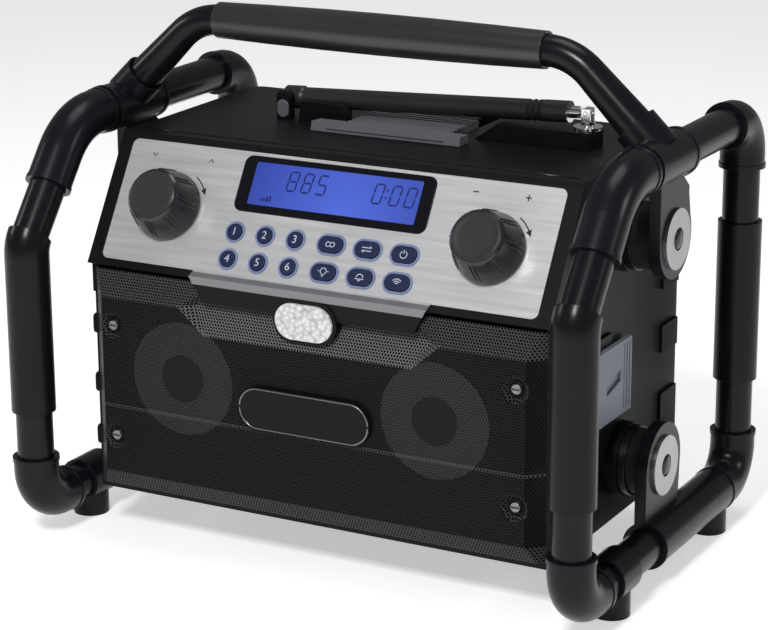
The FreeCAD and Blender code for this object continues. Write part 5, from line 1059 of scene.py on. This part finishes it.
def clip_plate():
    """Rings of a half-round outline, drawn in at the front to round its edge."""
    rings = []
    for inset, out in ((0.0, 0.1), (0.0, 0.5), (0.25, 0.85), (0.7, 1.0)):
        outline = rounded_rectangle(inset - CLIP_HALF, DECK_Z + 1 + inset, CLIP_HALF - inset,
                                    DECK_Z + CLIP_TALL - inset, CLIP_HALF - inset - 0.05)
        rings.append(np.stack([CLIP_X + outline[:, 0], np.full(len(outline), CLIP_Y - out),
                               outline[:, 1]], 1))
    capped_rings("clip_plate", rings, latch_plastic)


clip_plate()

# %% [markdown]
# ## Bolt heads
# A dark domed head stands in the middle of each of the four mount washers.

# %% Bolt heads
HEAD_R, HEAD_RISE, HEAD_SUNK, HEAD_RIM = 6.4, 1.8, 0.4, 0.35
NEAR_MOUNT = 40


def washer_face(height):
    """A washer's outer face: the furthest x of the points near its height, in mm."""
    washers = [piece for piece in bpy.data.objects if piece.name.startswith("mount_washers")]
    points = [piece.matrix_world @ point.co for piece in washers for point in piece.data.vertices]
    return max(abs(point.x) for point in points if abs(point.z / MM - height) < NEAR_MOUNT) / MM


def head_shell(side, face, height):
    """A dome turned about its bolt: its height is the rise times the root of 1 - r squared.

    The first three rings are the flat base, and the fourth is the top of a low upright rim.
    """
    share = np.array([0, 0.6, 1, 1, 0.96, 0.86, 0.7, 0.5, 0.3, 0.12, 0])
    rise = HEAD_RISE * np.sqrt(1 - share ** 2)
    rise[:3] = 0
    rise[3] = HEAD_RIM
    turn = np.linspace(0, 2 * math.pi, 40, endpoint=False)
    radius = HEAD_R * share[:, None]
    along = side * (face - HEAD_SUNK + rise)[:, None] + 0 * turn
    return np.stack([along, MOUNT_Y + radius * np.cos(turn), height + radius * np.sin(turn)], -1)


faces_x = [washer_face(height) for height in MOUNT_HEIGHTS]
shells_piece("bolt_heads", [head_shell(side, face, height) for side in (-1, 1)
                            for face, height in zip(faces_x, MOUNT_HEIGHTS)], RADIO, head_black)
print("washer faces at", [round(face, 2) for face in faces_x])

# %% [markdown]
# ## Floor, light and camera
# A pale floor that glows a little and four soft lights, in front, overhead and at each
# side, make the studio. The camera stands where the photograph's did: its place and its
# lens follow from the pipe frames' right angles.

# %% Studio
floor_mesh = bpy.data.meshes.new("floor")
FLOOR_HALF = 6
corners = [(-FLOOR_HALF, -FLOOR_HALF, 0), (FLOOR_HALF, -FLOOR_HALF, 0),
           (FLOOR_HALF, FLOOR_HALF, 0), (-FLOOR_HALF, FLOOR_HALF, 0)]
floor_mesh.from_pydata(corners, [], [(0, 1, 2, 3)])
floor = bpy.data.objects.new("floor", floor_mesh)
bpy.context.scene.collection.objects.link(floor)
floor_paint, floor_shader = new_material("pale_floor")
floor_shader.inputs["Base Color"].default_value = (0.82, 0.82, 0.82, 1.0)
floor_shader.inputs["Emission Color"].default_value = (1.0, 1.0, 1.0, 1.0)
floor_shader.inputs["Emission Strength"].default_value = 0.5
floor_shader.inputs["Roughness"].default_value = 0.7
floor_mesh.materials.append(floor_paint)

world = bpy.data.worlds.new("studio")
bpy.context.scene.world = world
world.use_nodes = True
world.node_tree.nodes["Background"].inputs[0].default_value = (1.0, 1.0, 1.0, 1.0)
world.node_tree.nodes["Background"].inputs[1].default_value = 0.2


def soft_light(name, place, target, size, watts):
    """A square area light that faces a target."""
    lamp = bpy.data.lights.new(name, "AREA")
    lamp.energy = watts
    lamp.size = size
    light = bpy.data.objects.new(name, lamp)
    bpy.context.scene.collection.objects.link(light)
    light.location = place
    light.rotation_euler = (Vector(target) - Vector(place)).to_track_quat("-Z", "Y").to_euler()
    return light


soft_light("front_light", (0.3, -1.7, 1.7), (0, 0, 0.15), 0.42, 36)
soft_light("top_light", (0.1, 0.3, 2.0), (0, 0, 0.15), 0.9, 10)
soft_light("left_light", (-1.7, -0.5, 0.9), (0, 0, 0.2), 0.4, 4)
soft_light("right_light", (1.9, 0.5, 1.0), (0, 0, 0.2), 0.4, 6)

# %% Camera
SENSOR_MM = 36.0
CAMERA_PLACE = np.array([0.76855, -1.42047, 0.62481])
CAMERA_YAW, CAMERA_PITCH, CAMERA_ROLL = 0.4977, -0.28826, -0.0055
FOCAL_PIXELS, FRAME_PIXELS = 2577.9, 768

look = np.array([-math.sin(CAMERA_YAW) * math.cos(CAMERA_PITCH),
                 math.cos(CAMERA_YAW) * math.cos(CAMERA_PITCH), math.sin(CAMERA_PITCH)])
level = np.array([math.cos(CAMERA_YAW), math.sin(CAMERA_YAW), 0.0])
above = np.cross(level, look)
right_way = math.cos(CAMERA_ROLL) * level + math.sin(CAMERA_ROLL) * above
up_way = -math.sin(CAMERA_ROLL) * level + math.cos(CAMERA_ROLL) * above

lens = bpy.data.cameras.new("photo_camera")
lens.sensor_width = SENSOR_MM
lens.lens = SENSOR_MM * FOCAL_PIXELS / FRAME_PIXELS
lens.clip_start = 0.05
camera = bpy.data.objects.new("photo_camera", lens)
bpy.context.scene.collection.objects.link(camera)
columns = np.stack([right_way, up_way, -look, CAMERA_PLACE], 1)
camera.matrix_world = Matrix(np.vstack([columns, [0, 0, 0, 1]]).tolist())
bpy.context.scene.camera = camera
bpy.context.scene.view_settings.view_transform = "Standard"
print("lens", round(lens.lens, 2), "mm")
